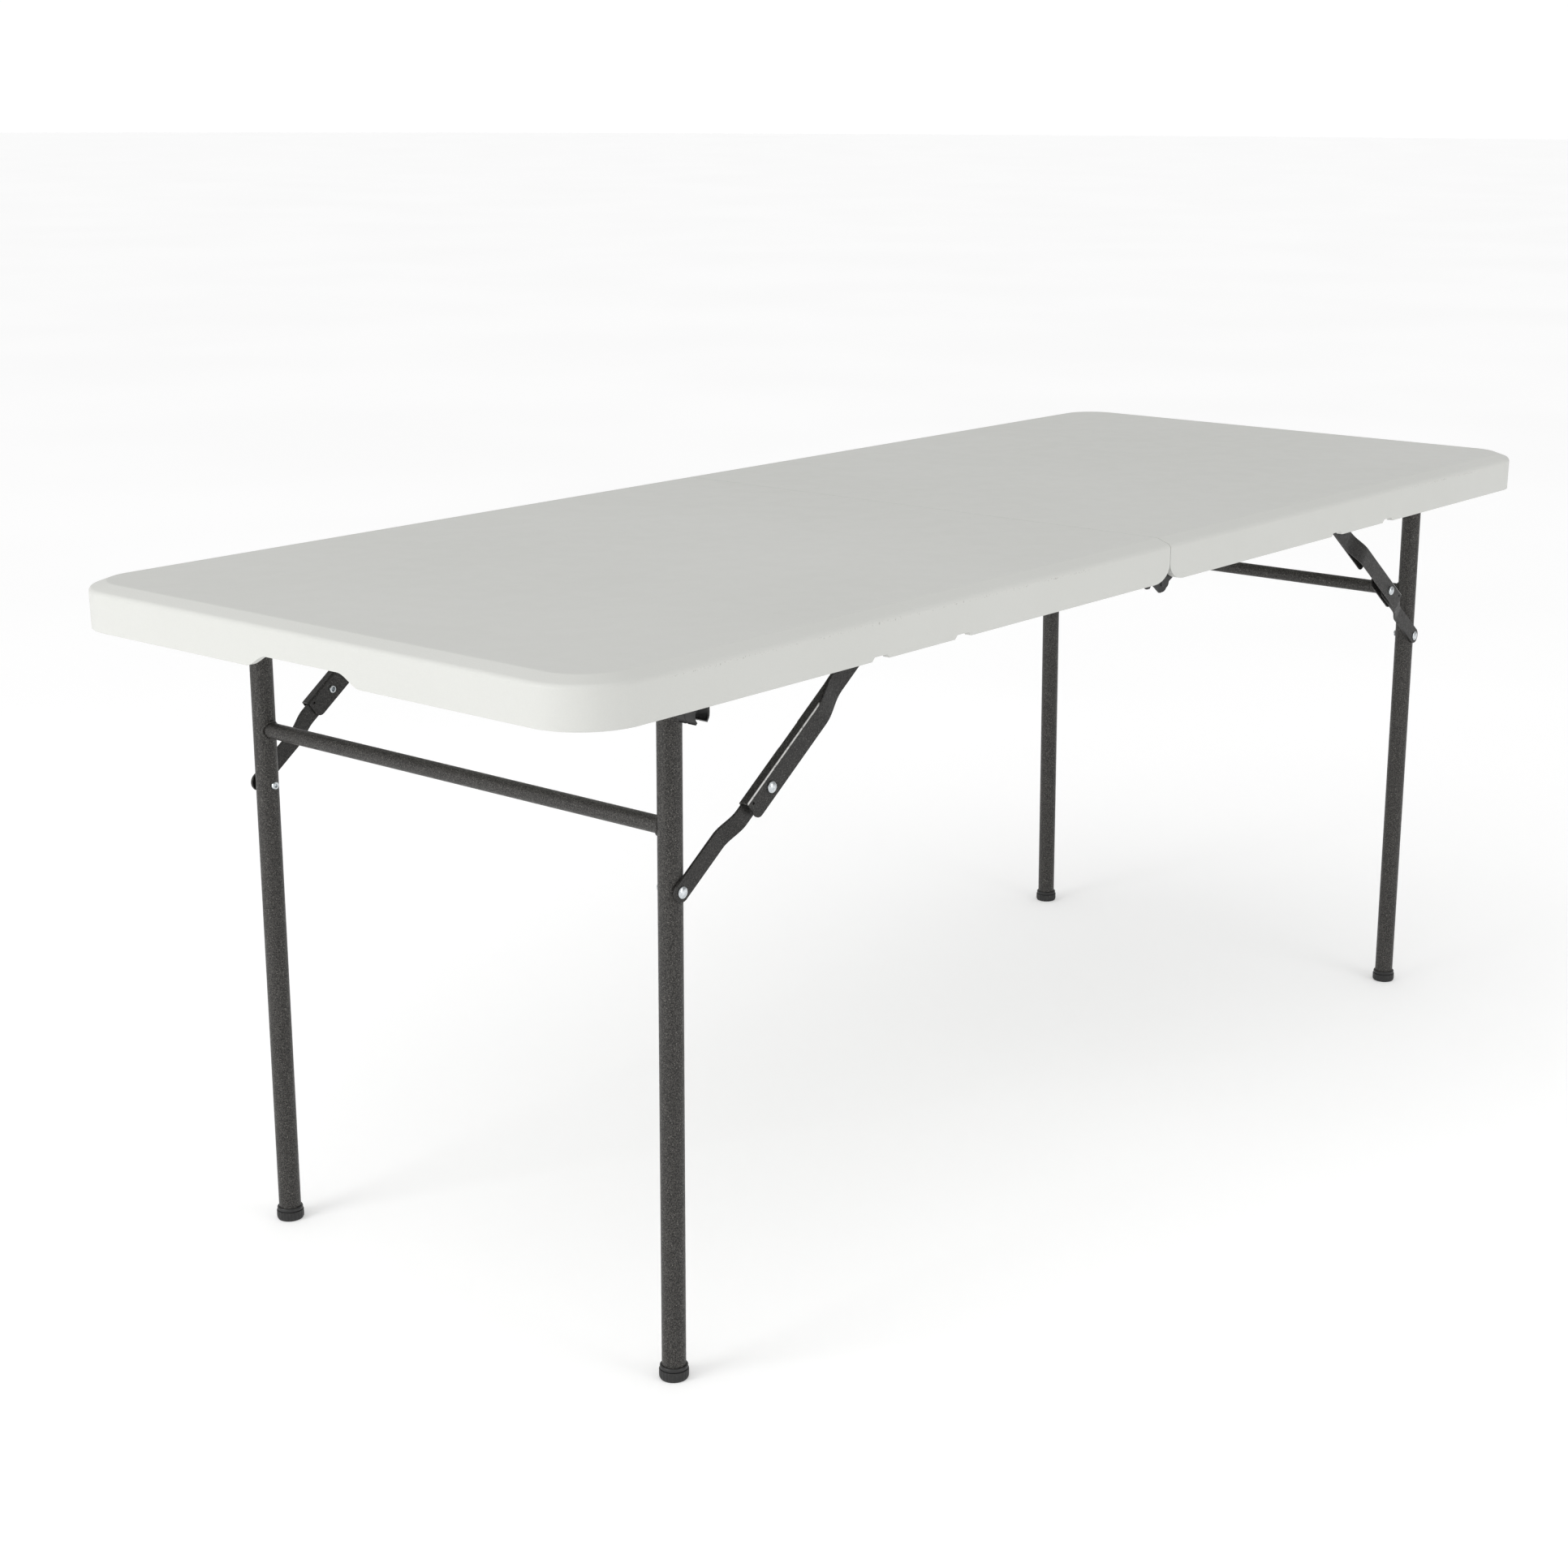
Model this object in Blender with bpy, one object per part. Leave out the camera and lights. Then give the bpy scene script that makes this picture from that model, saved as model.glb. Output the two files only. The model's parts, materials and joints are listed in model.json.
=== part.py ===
"""Fold-in-half utility table: moulded top in two halves, folding steel leg frames.

World frame: +X along the length, -Y the near long side, +Z up, floor at z = 0.
Each end is built once in a local frame whose +X points from the seam to the
table's end. The right end uses it as it is, and the left end is the same frame
turned half a turn about Z. "Out" is the distance from the table's centreline.
"""

import math

import bmesh
import bpy
from mathutils import Matrix, Vector

# ---------------------------------------------------------------- dimensions
LENGTH = 1.829
WIDTH = 0.730
HEIGHT = 0.737

TOUCH_GAP = 0.0003            # clearance between pieces that touch

# tabletop halves
CORNER_RADIUS = 0.065
BORDER_WIDTH = 0.018          # sloping band round the plateau
BORDER_DROP = 0.0045
EDGE_RADIUS = 0.0055
SKIRT_BOTTOM_Z = 0.6905
SKIRT_WALL = 0.008
PANEL_UNDERSIDE_Z = 0.7185
HALF_GAP = 0.0004             # each half stops this far from the seam plane
FOLD_WALL = 0.012
FOLD_CORNER_LENGTH = 0.029    # rounding of the skirt's lower corner at the seam
FOLD_CORNER_HEIGHT = 0.020
HAND_RECESS_HALF = 0.050
HAND_RECESS_RUNOUT = 0.032
HAND_RECESS_RISE = 0.0125
RIM_NOTCH_X = (0.384, 0.516)
RIM_NOTCH_WIDTH = 0.027
RIM_NOTCH_SLOPE = 0.004
RIM_NOTCH_DEPTH = 0.004

# leg frames
PIVOT_X = 0.732
PIVOT_Z = 0.7028
SPLAY = math.radians(0.9)
LEG_OUT = 0.2905
LEG_RADIUS = 0.012
LEG_WALL = 0.0012
LEG_TOP = 0.004               # the tube's top, below the pivot before it is saddled
PIVOT_TUBE_RADIUS = 0.0085
PIVOT_TUBE_WALL = 0.0015
CROSSBAR_RADIUS = 0.0085
CROSSBAR_WALL = 0.0012
CROSSBAR_BELOW_PIVOT = 0.1425
FOOT_RADIUS = 0.0148
FOOT_HEIGHT = 0.0145
FOOT_FLOOR = 0.005            # thickness of the cap under the tube

# side rails under the top
RAIL_OUT = (0.3335, 0.3505)
RAIL_Z = (0.698, 0.718)
RAIL_X = (0.030, 0.775)
RAIL_WALL = 0.0015
BRACKET_SHEET = 0.0025
BRACKET_HALF = 0.026
BRACKET_CHAMFER = 0.006

# folding braces
UPPER_PIVOT_X = 0.4595
LEG_RIVET_BELOW_PIVOT = 0.2023
LINK_WIDTH = 0.020
LINK_THICKNESS = 0.0028
LOW_LAYER_OUT = LEG_OUT + LEG_RADIUS + TOUCH_GAP      # lower link beside the leg
HIGH_LAYER_OUT = LOW_LAYER_OUT + 0.0076               # lower link in the channel
CHANNEL_SHEET = 0.0015
CHANNEL_INNER_OUT = 0.3086
CHANNEL_OUTER_OUT = 0.3205
CHANNEL_MIDDLE_OUT = (CHANNEL_INNER_OUT + CHANNEL_OUTER_OUT) / 2
FLAT_SLIT = 0.0002                                    # between the flanges of the flat end
FLAT_OUTER_OUT = CHANNEL_INNER_OUT + 2 * CHANNEL_SHEET + FLAT_SLIT
BRIDGE_SHEET = 0.0022                                 # brace bracket's sheet
BRIDGE_INNER_OUT = FLAT_OUTER_OUT + 2 * TOUCH_GAP
CHANNEL_HEIGHT = 0.024
CHANNEL_PAST_KNUCKLE = 0.033
FLAT_END = 0.070
FLAT_TO_CHANNEL = 0.114
NOTCH_FROM_KNUCKLE = (0.038, 0.072)
JOGGLE_FROM_KNUCKLE = (0.041, 0.073)
DIMPLE_FROM_END = 0.006
DIMPLE_FROM_WEB = 0.0055
DIMPLE_RADIUS = 0.0012
RIVET_SHANK = 0.003
RIVET_HOLE = RIVET_SHANK + TOUCH_GAP
RIVET_HEAD = 0.0056

# fold hinges
HINGE_Z = 0.6875
HINGE_LEAF = 0.0025
HINGE_LOBE_RADIUS = 0.0105
HINGE_SECOND_LOBE = (0.0125, -0.002)
HINGE_SECOND_LOBE_RADIUS = 0.0055
HINGE_STEP_X = (0.0415, 0.0495)       # where the outer leaf steps out by one layer
HINGE_LEAF_REACH = 0.085
HINGE_LEAF_Z = (0.6925, 0.7115)
HINGE_INNER_OUT = 0.3508
HINGE_OUTER_OUT = 0.3538
HINGE_PIN_RADIUS = 0.004

# closing clips
CLIP_OUT = (0.3085, 0.3300)
CLIP_GROOVE_OUT = (0.3180, 0.3186, 0.3194, 0.3200)
CLIP_GROOVE_DEPTH = 0.0006
CLIP_WALL = 0.0019
CLIP_MOUTH = 46                       # degrees below the level at which each prong ends

TUBE_SIDES = 20
CROSSBAR_SIDES = 16
SMALL_SIDES = 14

# worked out: the brace is straight when open and folds flat when the leg folds
PIVOT_TO_UPPER = PIVOT_X - UPPER_PIVOT_X
BRACE_SPAN = math.sqrt(
    PIVOT_TO_UPPER ** 2
    + LEG_RIVET_BELOW_PIVOT ** 2
    + 2 * PIVOT_TO_UPPER * LEG_RIVET_BELOW_PIVOT * math.sin(SPLAY)
)
UPPER_LINK = (BRACE_SPAN + PIVOT_TO_UPPER - LEG_RIVET_BELOW_PIVOT) / 2
LOWER_LINK = BRACE_SPAN - UPPER_LINK
BRACE_ANGLE = math.asin(LEG_RIVET_BELOW_PIVOT * math.cos(SPLAY) / BRACE_SPAN)

ENDS = {"left": math.pi, "right": 0.0}


# ---------------------------------------------------------------- materials
def make_material(name, colour, roughness, metallic):
    material = bpy.data.materials.new(name)
    material.use_nodes = True
    shader = material.node_tree.nodes["Principled BSDF"]
    shader.inputs["Base Color"].default_value = (*colour, 1.0)
    shader.inputs["Roughness"].default_value = roughness
    shader.inputs["Metallic"].default_value = metallic
    return material


# ---------------------------------------------------------------- mesh helpers
def finish_object(name, bm, material, parent=None, smooth=None):
    """Put a bmesh in the scene as one object, with its faces pointing out."""
    bmesh.ops.remove_doubles(bm, verts=bm.verts, dist=1e-6)
    bmesh.ops.recalc_face_normals(bm, faces=bm.faces)
    mesh = bpy.data.meshes.new(name)
    bm.to_mesh(mesh)
    bm.free()
    if smooth is not None:
        mesh.shade_smooth()
        mesh.set_sharp_from_angle(angle=math.radians(smooth))
    if material is not None:
        mesh.materials.append(material)
    obj = bpy.data.objects.new(name, mesh)
    bpy.context.scene.collection.objects.link(obj)
    obj.parent = parent
    return obj


def cut(obj, *cutters):
    """Take each cutter away from the object with an exact Boolean."""
    for cutter in cutters:
        cutter.parent = obj.parent
        cutter.location = cutter.location + obj.location
        cutter.hide_render = True
        cutter.display_type = "WIRE"
        modifier = obj.modifiers.new("cut", "BOOLEAN")
        modifier.operation = "DIFFERENCE"
        modifier.solver = "EXACT"
        modifier.object = cutter


def turned(profile, sides, axis="Z"):
    """Spin a profile of (radius, height) points about an axis."""
    bm = bmesh.new()
    verts = [bm.verts.new((r, 0.0, h)) for r, h in profile]
    for a, b in zip(verts, verts[1:]):
        bm.edges.new((a, b))
    closed = profile[0][0] > 0 and profile[-1][0] > 0
    if closed:
        bm.edges.new((verts[-1], verts[0]))
    bmesh.ops.spin(
        bm,
        geom=bm.verts[:] + bm.edges[:],
        cent=(0, 0, 0),
        axis=(0, 0, 1),
        angle=2 * math.pi,
        steps=sides,
        use_merge=True,
    )
    bmesh.ops.remove_doubles(bm, verts=bm.verts, dist=1e-6)
    if axis == "Y":
        bmesh.ops.rotate(bm, verts=bm.verts, matrix=Matrix.Rotation(-math.pi / 2, 3, "X"))
    return bm


def rod(radius, reach, sides, axis):
    """Solid round bar about the origin, used as a cutter."""
    return turned([(0, -reach), (radius, -reach), (radius, reach), (0, reach)], sides, axis)


def prism(outline, low, high, along="Y"):
    """Extrude a flat outline: (x, z) points along Y, or (y, z) points along X."""
    bm = bmesh.new()
    if along == "Y":
        points = [(a, low, b) for a, b in outline]
        step = Vector((0, high - low, 0))
    else:
        points = [(low, a, b) for a, b in outline]
        step = Vector((high - low, 0, 0))
    face = bm.faces.new([bm.verts.new(p) for p in points])
    extruded = bmesh.ops.extrude_face_region(bm, geom=[face])
    moved = [g for g in extruded["geom"] if isinstance(g, bmesh.types.BMVert)]
    bmesh.ops.translate(bm, verts=moved, vec=step)
    bmesh.ops.recalc_face_normals(bm, faces=bm.faces)
    return bm


def loft(sections):
    """Join rings of points, one after the other, and close both ends."""
    bm = bmesh.new()
    rings = [[bm.verts.new(p) for p in section] for section in sections]
    for ring, following in zip(rings, rings[1:]):
        count = len(ring)
        for i in range(count):
            j = (i + 1) % count
            bm.faces.new((ring[i], ring[j], following[j], following[i]))
    bm.faces.new(rings[0])
    bm.faces.new(rings[-1])
    return bm


def arc(centre, radius, start, end, steps):
    """Points on a circular arc, angles in degrees."""
    points = []
    for i in range(steps + 1):
        angle = math.radians(start + (end - start) * i / steps)
        points.append((centre[0] + radius * math.cos(angle), centre[1] + radius * math.sin(angle)))
    return points


def mirror_out(bm, side):
    """Send a piece that was built on the +Y side to the side asked for."""
    if side < 0:
        bmesh.ops.scale(bm, verts=bm.verts, vec=(1, -1, 1))
        bmesh.ops.reverse_faces(bm, faces=bm.faces)
    return bm


def drill(name, x, out, z, radius, reach, side):
    """A cutter along Y, centred at the given distance from the centreline."""
    bm = rod(radius, reach, SMALL_SIDES, "Y")
    bmesh.ops.translate(bm, verts=bm.verts, vec=(x, out, z))
    return finish_object(name, mirror_out(bm, side), None)


def empty(name, location, rotation=(0, 0, 0), parent=None):
    obj = bpy.data.objects.new(name, None)
    bpy.context.scene.collection.objects.link(obj)
    obj.location = location
    obj.rotation_euler = rotation
    obj.parent = parent
    return obj


def side_name(end, side):
    """Near is the world's -Y side; the left end is turned half a turn."""
    out_y = side if end == "right" else -side
    return "near" if out_y < 0 else "far"


# ---------------------------------------------------------------- tabletop
def top_ring(inset, z, fold_x):
    """One outline of the tabletop half, set in from its edge on three sides."""
    half = WIDTH / 2
    steps = 9
    radius = CORNER_RADIUS - inset
    centre_x = LENGTH / 2 - CORNER_RADIUS
    centre_y = half - CORNER_RADIUS
    near = arc((centre_x, -centre_y), radius, -90, 0, steps)
    far = arc((centre_x, centre_y), radius, 0, 90, steps)
    outline = [(fold_x, -(half - inset))] + near + far + [(fold_x, half - inset)]
    return [(x, y, z) for x, y in outline]


def tabletop(name, material, parent):
    edge_z = HEIGHT - BORDER_DROP
    rings = [top_ring(BORDER_WIDTH, HEIGHT, HALF_GAP)]
    rings.append(top_ring(EDGE_RADIUS, edge_z, HALF_GAP))
    for angle in (30, 60, 90):
        a = math.radians(angle)
        inset = EDGE_RADIUS * (1 - math.sin(a))
        rings.append(top_ring(inset, edge_z - EDGE_RADIUS * (1 - math.cos(a)), HALF_GAP))
    rings.append(top_ring(0, SKIRT_BOTTOM_Z, HALF_GAP))
    rings.append(top_ring(SKIRT_WALL, SKIRT_BOTTOM_Z, FOLD_WALL))
    rings.append(top_ring(SKIRT_WALL, PANEL_UNDERSIDE_Z, FOLD_WALL))
    top = finish_object(name, loft(rings), material, parent, smooth=35)
    cut(top, fold_corner_cutter(name), *hinge_pockets(name), hand_recess_cutter(name))
    cut(top, *rim_notches(name))
    return top


def fold_corner_cutter(name):
    """Rounds the skirt's lower corner where the two halves meet."""
    reach = 0.002
    points = [(-reach, SKIRT_BOTTOM_Z - reach), (FOLD_CORNER_LENGTH, SKIRT_BOTTOM_Z - reach)]
    steps = 8
    for i in range(steps + 1):
        angle = math.pi / 2 * i / steps
        x = HALF_GAP + FOLD_CORNER_LENGTH * (1 - math.sin(angle))
        z = SKIRT_BOTTOM_Z + FOLD_CORNER_HEIGHT * (1 - math.cos(angle))
        points.append((x, z))
    points.append((-reach, SKIRT_BOTTOM_Z + FOLD_CORNER_HEIGHT))
    return finish_object(name + "_fold_corner_cut", prism(points, -WIDTH, WIDTH), None)


def hinge_pockets(name):
    """The fold wall stops short of the long sides, where the hinges are."""
    pockets = []
    skirt_inner = WIDTH / 2 - SKIRT_WALL
    for side in (-1, 1):
        low, high = sorted((side * (RAIL_OUT[0] - 0.004), side * skirt_inner))
        reach = 0.001
        outline = [(low, SKIRT_BOTTOM_Z - reach), (high, SKIRT_BOTTOM_Z - reach)]
        outline += [(high, PANEL_UNDERSIDE_Z - reach), (low, PANEL_UNDERSIDE_Z - reach)]
        bm = prism(outline, -reach, FOLD_WALL + reach, along="X")
        pockets.append(finish_object(f"{name}_hinge_pocket_{side + 1}", bm, None))
    return pockets


def hand_recess_cutter(name):
    """Finger space in the middle of the end skirt, with S-shaped run-outs."""
    steps = 6
    reach = 0.004
    base = SKIRT_BOTTOM_Z - TOUCH_GAP
    rise = []
    for i in range(steps + 1):
        t = i / steps
        y = -(HAND_RECESS_HALF + HAND_RECESS_RUNOUT * (1 - t))
        rise.append((y, base + HAND_RECESS_RISE * (0.5 - 0.5 * math.cos(math.pi * t))))
    fall = [(-y, z) for y, z in reversed(rise)]
    end_y = HAND_RECESS_HALF + HAND_RECESS_RUNOUT
    outline = [(-end_y, base - reach)] + rise + fall + [(end_y, base - reach)]
    bm = prism(outline, LENGTH / 2 - SKIRT_WALL - reach, LENGTH / 2 + reach, along="X")
    return finish_object(name + "_hand_recess_cut", bm, None)


def rim_notches(name):
    """Small notches in the lower rim of both long skirts."""
    cutters = []
    for index, x in enumerate(RIM_NOTCH_X):
        for side in (-1, 1):
            half = RIM_NOTCH_WIDTH / 2
            reach = 0.002
            low = SKIRT_BOTTOM_Z - reach
            high = SKIRT_BOTTOM_Z + RIM_NOTCH_DEPTH
            outline = [(x - half, low), (x + half, low), (x + half, SKIRT_BOTTOM_Z)]
            outline += [(x + half - RIM_NOTCH_SLOPE, high), (x - half + RIM_NOTCH_SLOPE, high)]
            outline += [(x - half, SKIRT_BOTTOM_Z)]
            y_low, y_high = sorted((side * (WIDTH / 2 - SKIRT_WALL - reach), side * (WIDTH / 2 + reach)))
            bm = prism(outline, y_low, y_high)
            cutters.append(finish_object(f"{name}_rim_notch_{index}_{side + 1}", bm, None))
    return cutters


# ---------------------------------------------------------------- rails and brackets
def side_rail(name, side, material, parent):
    """Square steel tube along the long side, open at both ends."""
    bm = bmesh.new()
    rings = []
    for x in RAIL_X:
        for inset in (0, RAIL_WALL):
            low = (RAIL_OUT[0] + inset, RAIL_Z[0] + inset)
            high = (RAIL_OUT[1] - inset, RAIL_Z[1] - inset)
            corners = [(low[0], low[1]), (high[0], low[1]), (high[0], high[1]), (low[0], high[1])]
            rings.append([bm.verts.new((x, y, z)) for y, z in corners])
    for a, b in ((0, 1), (1, 3), (3, 2), (2, 0)):
        for i in range(4):
            j = (i + 1) % 4
            bm.faces.new((rings[a][i], rings[a][j], rings[b][j], rings[b][i]))
    return finish_object(name, mirror_out(bm, side), material, parent)


def pivot_bracket(name, side, material, parent):
    """Plate on the rail's inner face, with the bore in which the pivot tube turns."""
    half = BRACKET_HALF
    chamfer = BRACKET_CHAMFER
    low = SKIRT_BOTTOM_Z + 0.001 - PIVOT_Z
    high = RAIL_Z[1] - PIVOT_Z
    outline = [(-half + chamfer, low), (half - chamfer, low), (half, low + chamfer), (half, high)]
    outline += [(-half, high), (-half, low + chamfer)]
    outer = RAIL_OUT[0] - TOUCH_GAP
    inner = outer - BRACKET_SHEET
    bm = prism(outline, inner, outer)
    bracket = finish_object(name, mirror_out(bm, side), material, parent, smooth=35)
    bracket.location = (PIVOT_X, 0, PIVOT_Z)
    reach = 2 * BRACKET_SHEET
    cut(bracket, drill(name + "_bore_cut", 0, inner, 0, PIVOT_TUBE_RADIUS + TOUCH_GAP, reach, side))
    return bracket


def brace_bracket(name, side, material, parent):
    """Bent sheet bridge from the rail to the upper link, open at the bottom."""
    sheet = BRIDGE_SHEET
    inner = BRIDGE_INNER_OUT
    outer = RAIL_OUT[0] - TOUCH_GAP
    low = -0.0095
    high = RAIL_Z[1] - TOUCH_GAP - PIVOT_Z
    half = 0.018
    outline = [(inner, low), (inner, high), (outer, high), (outer, low)]
    outline += [(outer - sheet, low), (outer - sheet, high - sheet)]
    outline += [(inner + sheet, high - sheet), (inner + sheet, low)]
    bm = prism(outline, -half, half, along="X")
    bracket = finish_object(name, mirror_out(bm, side), material, parent)
    bracket.location = (UPPER_PIVOT_X, 0, PIVOT_Z)
    cut(bracket, drill(name + "_hole_cut", 0, inner, 0, RIVET_HOLE, 0.004, side))
    return bracket


# ---------------------------------------------------------------- leg frames
def leg_tube(name, side, material, pivot):
    """Leg tube, fish-mouthed at its top round the pivot tube."""
    bottom = -(PIVOT_Z / math.cos(SPLAY)) + FOOT_FLOOR + TOUCH_GAP
    inner = LEG_RADIUS - LEG_WALL
    profile = [(inner, -LEG_TOP), (LEG_RADIUS, -LEG_TOP), (LEG_RADIUS, bottom), (inner, bottom)]
    leg = finish_object(name, turned(profile, TUBE_SIDES), material, pivot, smooth=35)
    leg.location = (0, side * LEG_OUT, 0)
    reach = 2 * LEG_RADIUS
    saddle = rod(PIVOT_TUBE_RADIUS + TOUCH_GAP, reach, TUBE_SIDES, "Y")
    cut(leg, finish_object(name + "_saddle_cut", saddle, None))
    return leg


def cross_tube(name, radius, wall, half, material, pivot, sides):
    """Tube across the table, open at both ends, about its own middle."""
    inner = radius - wall
    profile = [(inner, half), (radius, half), (radius, -half), (inner, -half)]
    return finish_object(name, turned(profile, sides, "Y"), material, pivot, smooth=35)


def pivot_tube(name, material, pivot):
    half = RAIL_OUT[0] - 2 * TOUCH_GAP
    return cross_tube(name, PIVOT_TUBE_RADIUS, PIVOT_TUBE_WALL, half, material, pivot, TUBE_SIDES)


def crossbar(name, material, pivot):
    """Crossbar between the legs, with its ends shaped to the leg tubes."""
    half = LEG_OUT - LEG_RADIUS / 3
    bar = cross_tube(name, CROSSBAR_RADIUS, CROSSBAR_WALL, half, material, pivot, CROSSBAR_SIDES)
    bar.location = (0, 0, -CROSSBAR_BELOW_PIVOT)
    for side in (-1, 1):
        bm = rod(LEG_RADIUS + TOUCH_GAP, 2 * LEG_RADIUS, TUBE_SIDES, "Z")
        bmesh.ops.translate(bm, verts=bm.verts, vec=(0, side * LEG_OUT, 0))
        cut(bar, finish_object(f"{name}_end_cut_{side + 1}", bm, None))
    return bar


def foot_cap(name, side, material, pivot):
    """Plastic cap round the tube's end, with a collar; its base lies on the floor."""
    floor = -PIVOT_Z / math.cos(SPLAY)
    grip = LEG_RADIUS + TOUCH_GAP
    top = floor + FOOT_HEIGHT
    inside = floor + FOOT_FLOOR
    below = 0.001                     # cut off by the level base
    profile = [(0, floor - below), (FOOT_RADIUS - 0.0028, floor - below)]
    profile += [(FOOT_RADIUS - 0.0016, floor + 0.0008), (FOOT_RADIUS - 0.0006, floor + 0.0028)]
    profile += [(FOOT_RADIUS, floor + 0.0055), (FOOT_RADIUS, top - 0.0042)]
    profile += [(FOOT_RADIUS - 0.0011, top - 0.0038), (FOOT_RADIUS - 0.0011, top - 0.0006)]
    profile += [(FOOT_RADIUS - 0.0017, top)]
    profile += [(grip, top), (grip, inside), (0, inside)]
    bm = turned(profile, TUBE_SIDES)
    normal = Vector((math.sin(SPLAY), 0, math.cos(SPLAY)))
    point = Vector((0, 0, floor))
    bmesh.ops.bisect_plane(
        bm, geom=bm.verts[:] + bm.edges[:] + bm.faces[:], plane_co=point, plane_no=normal, clear_inner=True
    )
    bmesh.ops.holes_fill(bm, edges=[e for e in bm.edges if e.is_boundary])
    cap = finish_object(name, bm, material, pivot, smooth=35)
    cap.location = (0, side * LEG_OUT, 0)
    return cap


# ---------------------------------------------------------------- braces
def upper_link(name, side, material, pivot):
    """Pressed channel, closed above and open below, flat towards its pivot."""
    half = CHANNEL_HEIGHT / 2
    end = UPPER_LINK + CHANNEL_PAST_KNUCKLE
    stations = [(-half * 0.97, 0.25, 0), (-half * 0.8, 0.6, 0), (-half * 0.45, 0.9, 0), (0, 1, 0)]
    stations += [(FLAT_END, 1, 0)]
    steps = 6
    for i in range(1, steps + 1):
        t = i / steps
        x = FLAT_END + (FLAT_TO_CHANNEL - FLAT_END) * t
        stations.append((x, 1, 0.5 - 0.5 * math.cos(math.pi * t)))
    stations += [(end - 0.007, 1, 1), (end - 0.003, 0.9, 1), (end, 0.62, 1)]
    sections = []
    for x, scale, spread in stations:
        outer = FLAT_OUTER_OUT + (CHANNEL_OUTER_OUT - FLAT_OUTER_OUT) * spread
        top = half * scale if x < 0 else half
        bottom = -half * scale
        sheet = min(CHANNEL_SHEET, top * 0.6)
        inner = CHANNEL_INNER_OUT
        section = [(inner, bottom), (inner, top), (outer, top), (outer, bottom)]
        section += [(outer - CHANNEL_SHEET, bottom), (outer - CHANNEL_SHEET, top - sheet)]
        section += [(inner + CHANNEL_SHEET, top - sheet), (inner + CHANNEL_SHEET, bottom)]
        sections.append([(x, y, z) for y, z in section])
    link = finish_object(name, mirror_out(loft(sections), side), material, pivot, smooth=25)
    middle = CHANNEL_MIDDLE_OUT
    reach = 0.010
    dimple_x = end - DIMPLE_FROM_END
    dimple_z = half - DIMPLE_FROM_WEB
    cut(
        link,
        drill(name + "_pivot_cut", 0, CHANNEL_INNER_OUT, 0, RIVET_HOLE, reach, side),
        drill(name + "_knuckle_cut", UPPER_LINK, middle, 0, RIVET_HOLE, reach, side),
        drill(name + "_dimple_cut", dimple_x, middle, dimple_z, DIMPLE_RADIUS, reach, side),
        notch_cutter(name, side),
    )
    return link


def notch_cutter(name, side):
    """Opening in the inner flange that lets the lower link's joggle through."""
    start = UPPER_LINK - NOTCH_FROM_KNUCKLE[1]
    stop = UPPER_LINK - NOTCH_FROM_KNUCKLE[0]
    bottom = -CHANNEL_HEIGHT / 2
    top = CHANNEL_HEIGHT / 2 - CHANNEL_SHEET + 0.0005
    lobe = 0.009
    corner = 0.004
    outline = [(start - lobe, bottom - 0.002), (stop + lobe, bottom - 0.002)]
    outline += [(stop + lobe * (1 - math.sin(a)), bottom + lobe * (1 - math.cos(a)) - 0.0004)
                for a in (math.radians(d) for d in (15, 40, 65, 90))]
    outline += arc((stop - corner, top - corner), corner, 0, 90, 3)
    outline += arc((start + corner, top - corner), corner, 90, 180, 3)
    outline += [(start - lobe * (1 - math.sin(a)), bottom + lobe * (1 - math.cos(a)) - 0.0004)
                for a in (math.radians(d) for d in (90, 65, 40, 15))]
    bm = prism(outline, CHANNEL_INNER_OUT - 0.001, CHANNEL_INNER_OUT + CHANNEL_SHEET + 0.0004)
    return finish_object(name + "_notch_cut", mirror_out(bm, side), None)


def lower_link(name, side, material, knuckle):
    """Flat bar from the knuckle to the leg, with a joggle towards the leg."""
    half = LINK_WIDTH / 2
    stations = []
    round_end = ((0.97, 0.24), (0.8, 0.6), (0.45, 0.893), (0.0, 1.0))
    for back, scale in round_end:
        stations.append((-half * back, scale, 1.0))
    steps = 6
    for i in range(steps + 1):
        t = i / steps
        start, stop = JOGGLE_FROM_KNUCKLE
        x = start + (stop - start) * t
        stations.append((x, 1.0, 0.5 + 0.5 * math.cos(math.pi * t)))
    for back, scale in reversed(round_end):
        stations.append((LOWER_LINK + half * back, scale, 0.0))
    sections = []
    for x, scale, layer in stations:
        inner = LOW_LAYER_OUT + (HIGH_LAYER_OUT - LOW_LAYER_OUT) * layer
        outer = inner + LINK_THICKNESS
        top = half * scale
        sections.append([(x, inner, -top), (x, inner, top), (x, outer, top), (x, outer, -top)])
    link = finish_object(name, mirror_out(loft(sections), side), material, knuckle, smooth=25)
    reach = 0.008
    cut(
        link,
        drill(name + "_knuckle_cut", 0, HIGH_LAYER_OUT, 0, RIVET_HOLE, reach, side),
        drill(name + "_leg_cut", LOWER_LINK, LOW_LAYER_OUT, 0, RIVET_HOLE, reach, side),
    )
    return link


def rivet(name, profile, side, material, parent, location):
    """A turned rivet on the +Y side: (radius, out) points, placed on its axis."""
    bm = turned(profile, SMALL_SIDES, "Y")
    obj = finish_object(name, mirror_out(bm, side), material, parent, smooth=30)
    obj.location = location
    return obj


def dome(radius, base, height):
    """Points of a domed head from its rim to its top on the axis."""
    points = []
    steps = 4
    for i in range(steps + 1):
        angle = math.pi / 2 * i / steps
        points.append((radius * math.cos(angle), base + height * math.sin(angle)))
    points[-1] = (0, base + height)
    return points


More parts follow.
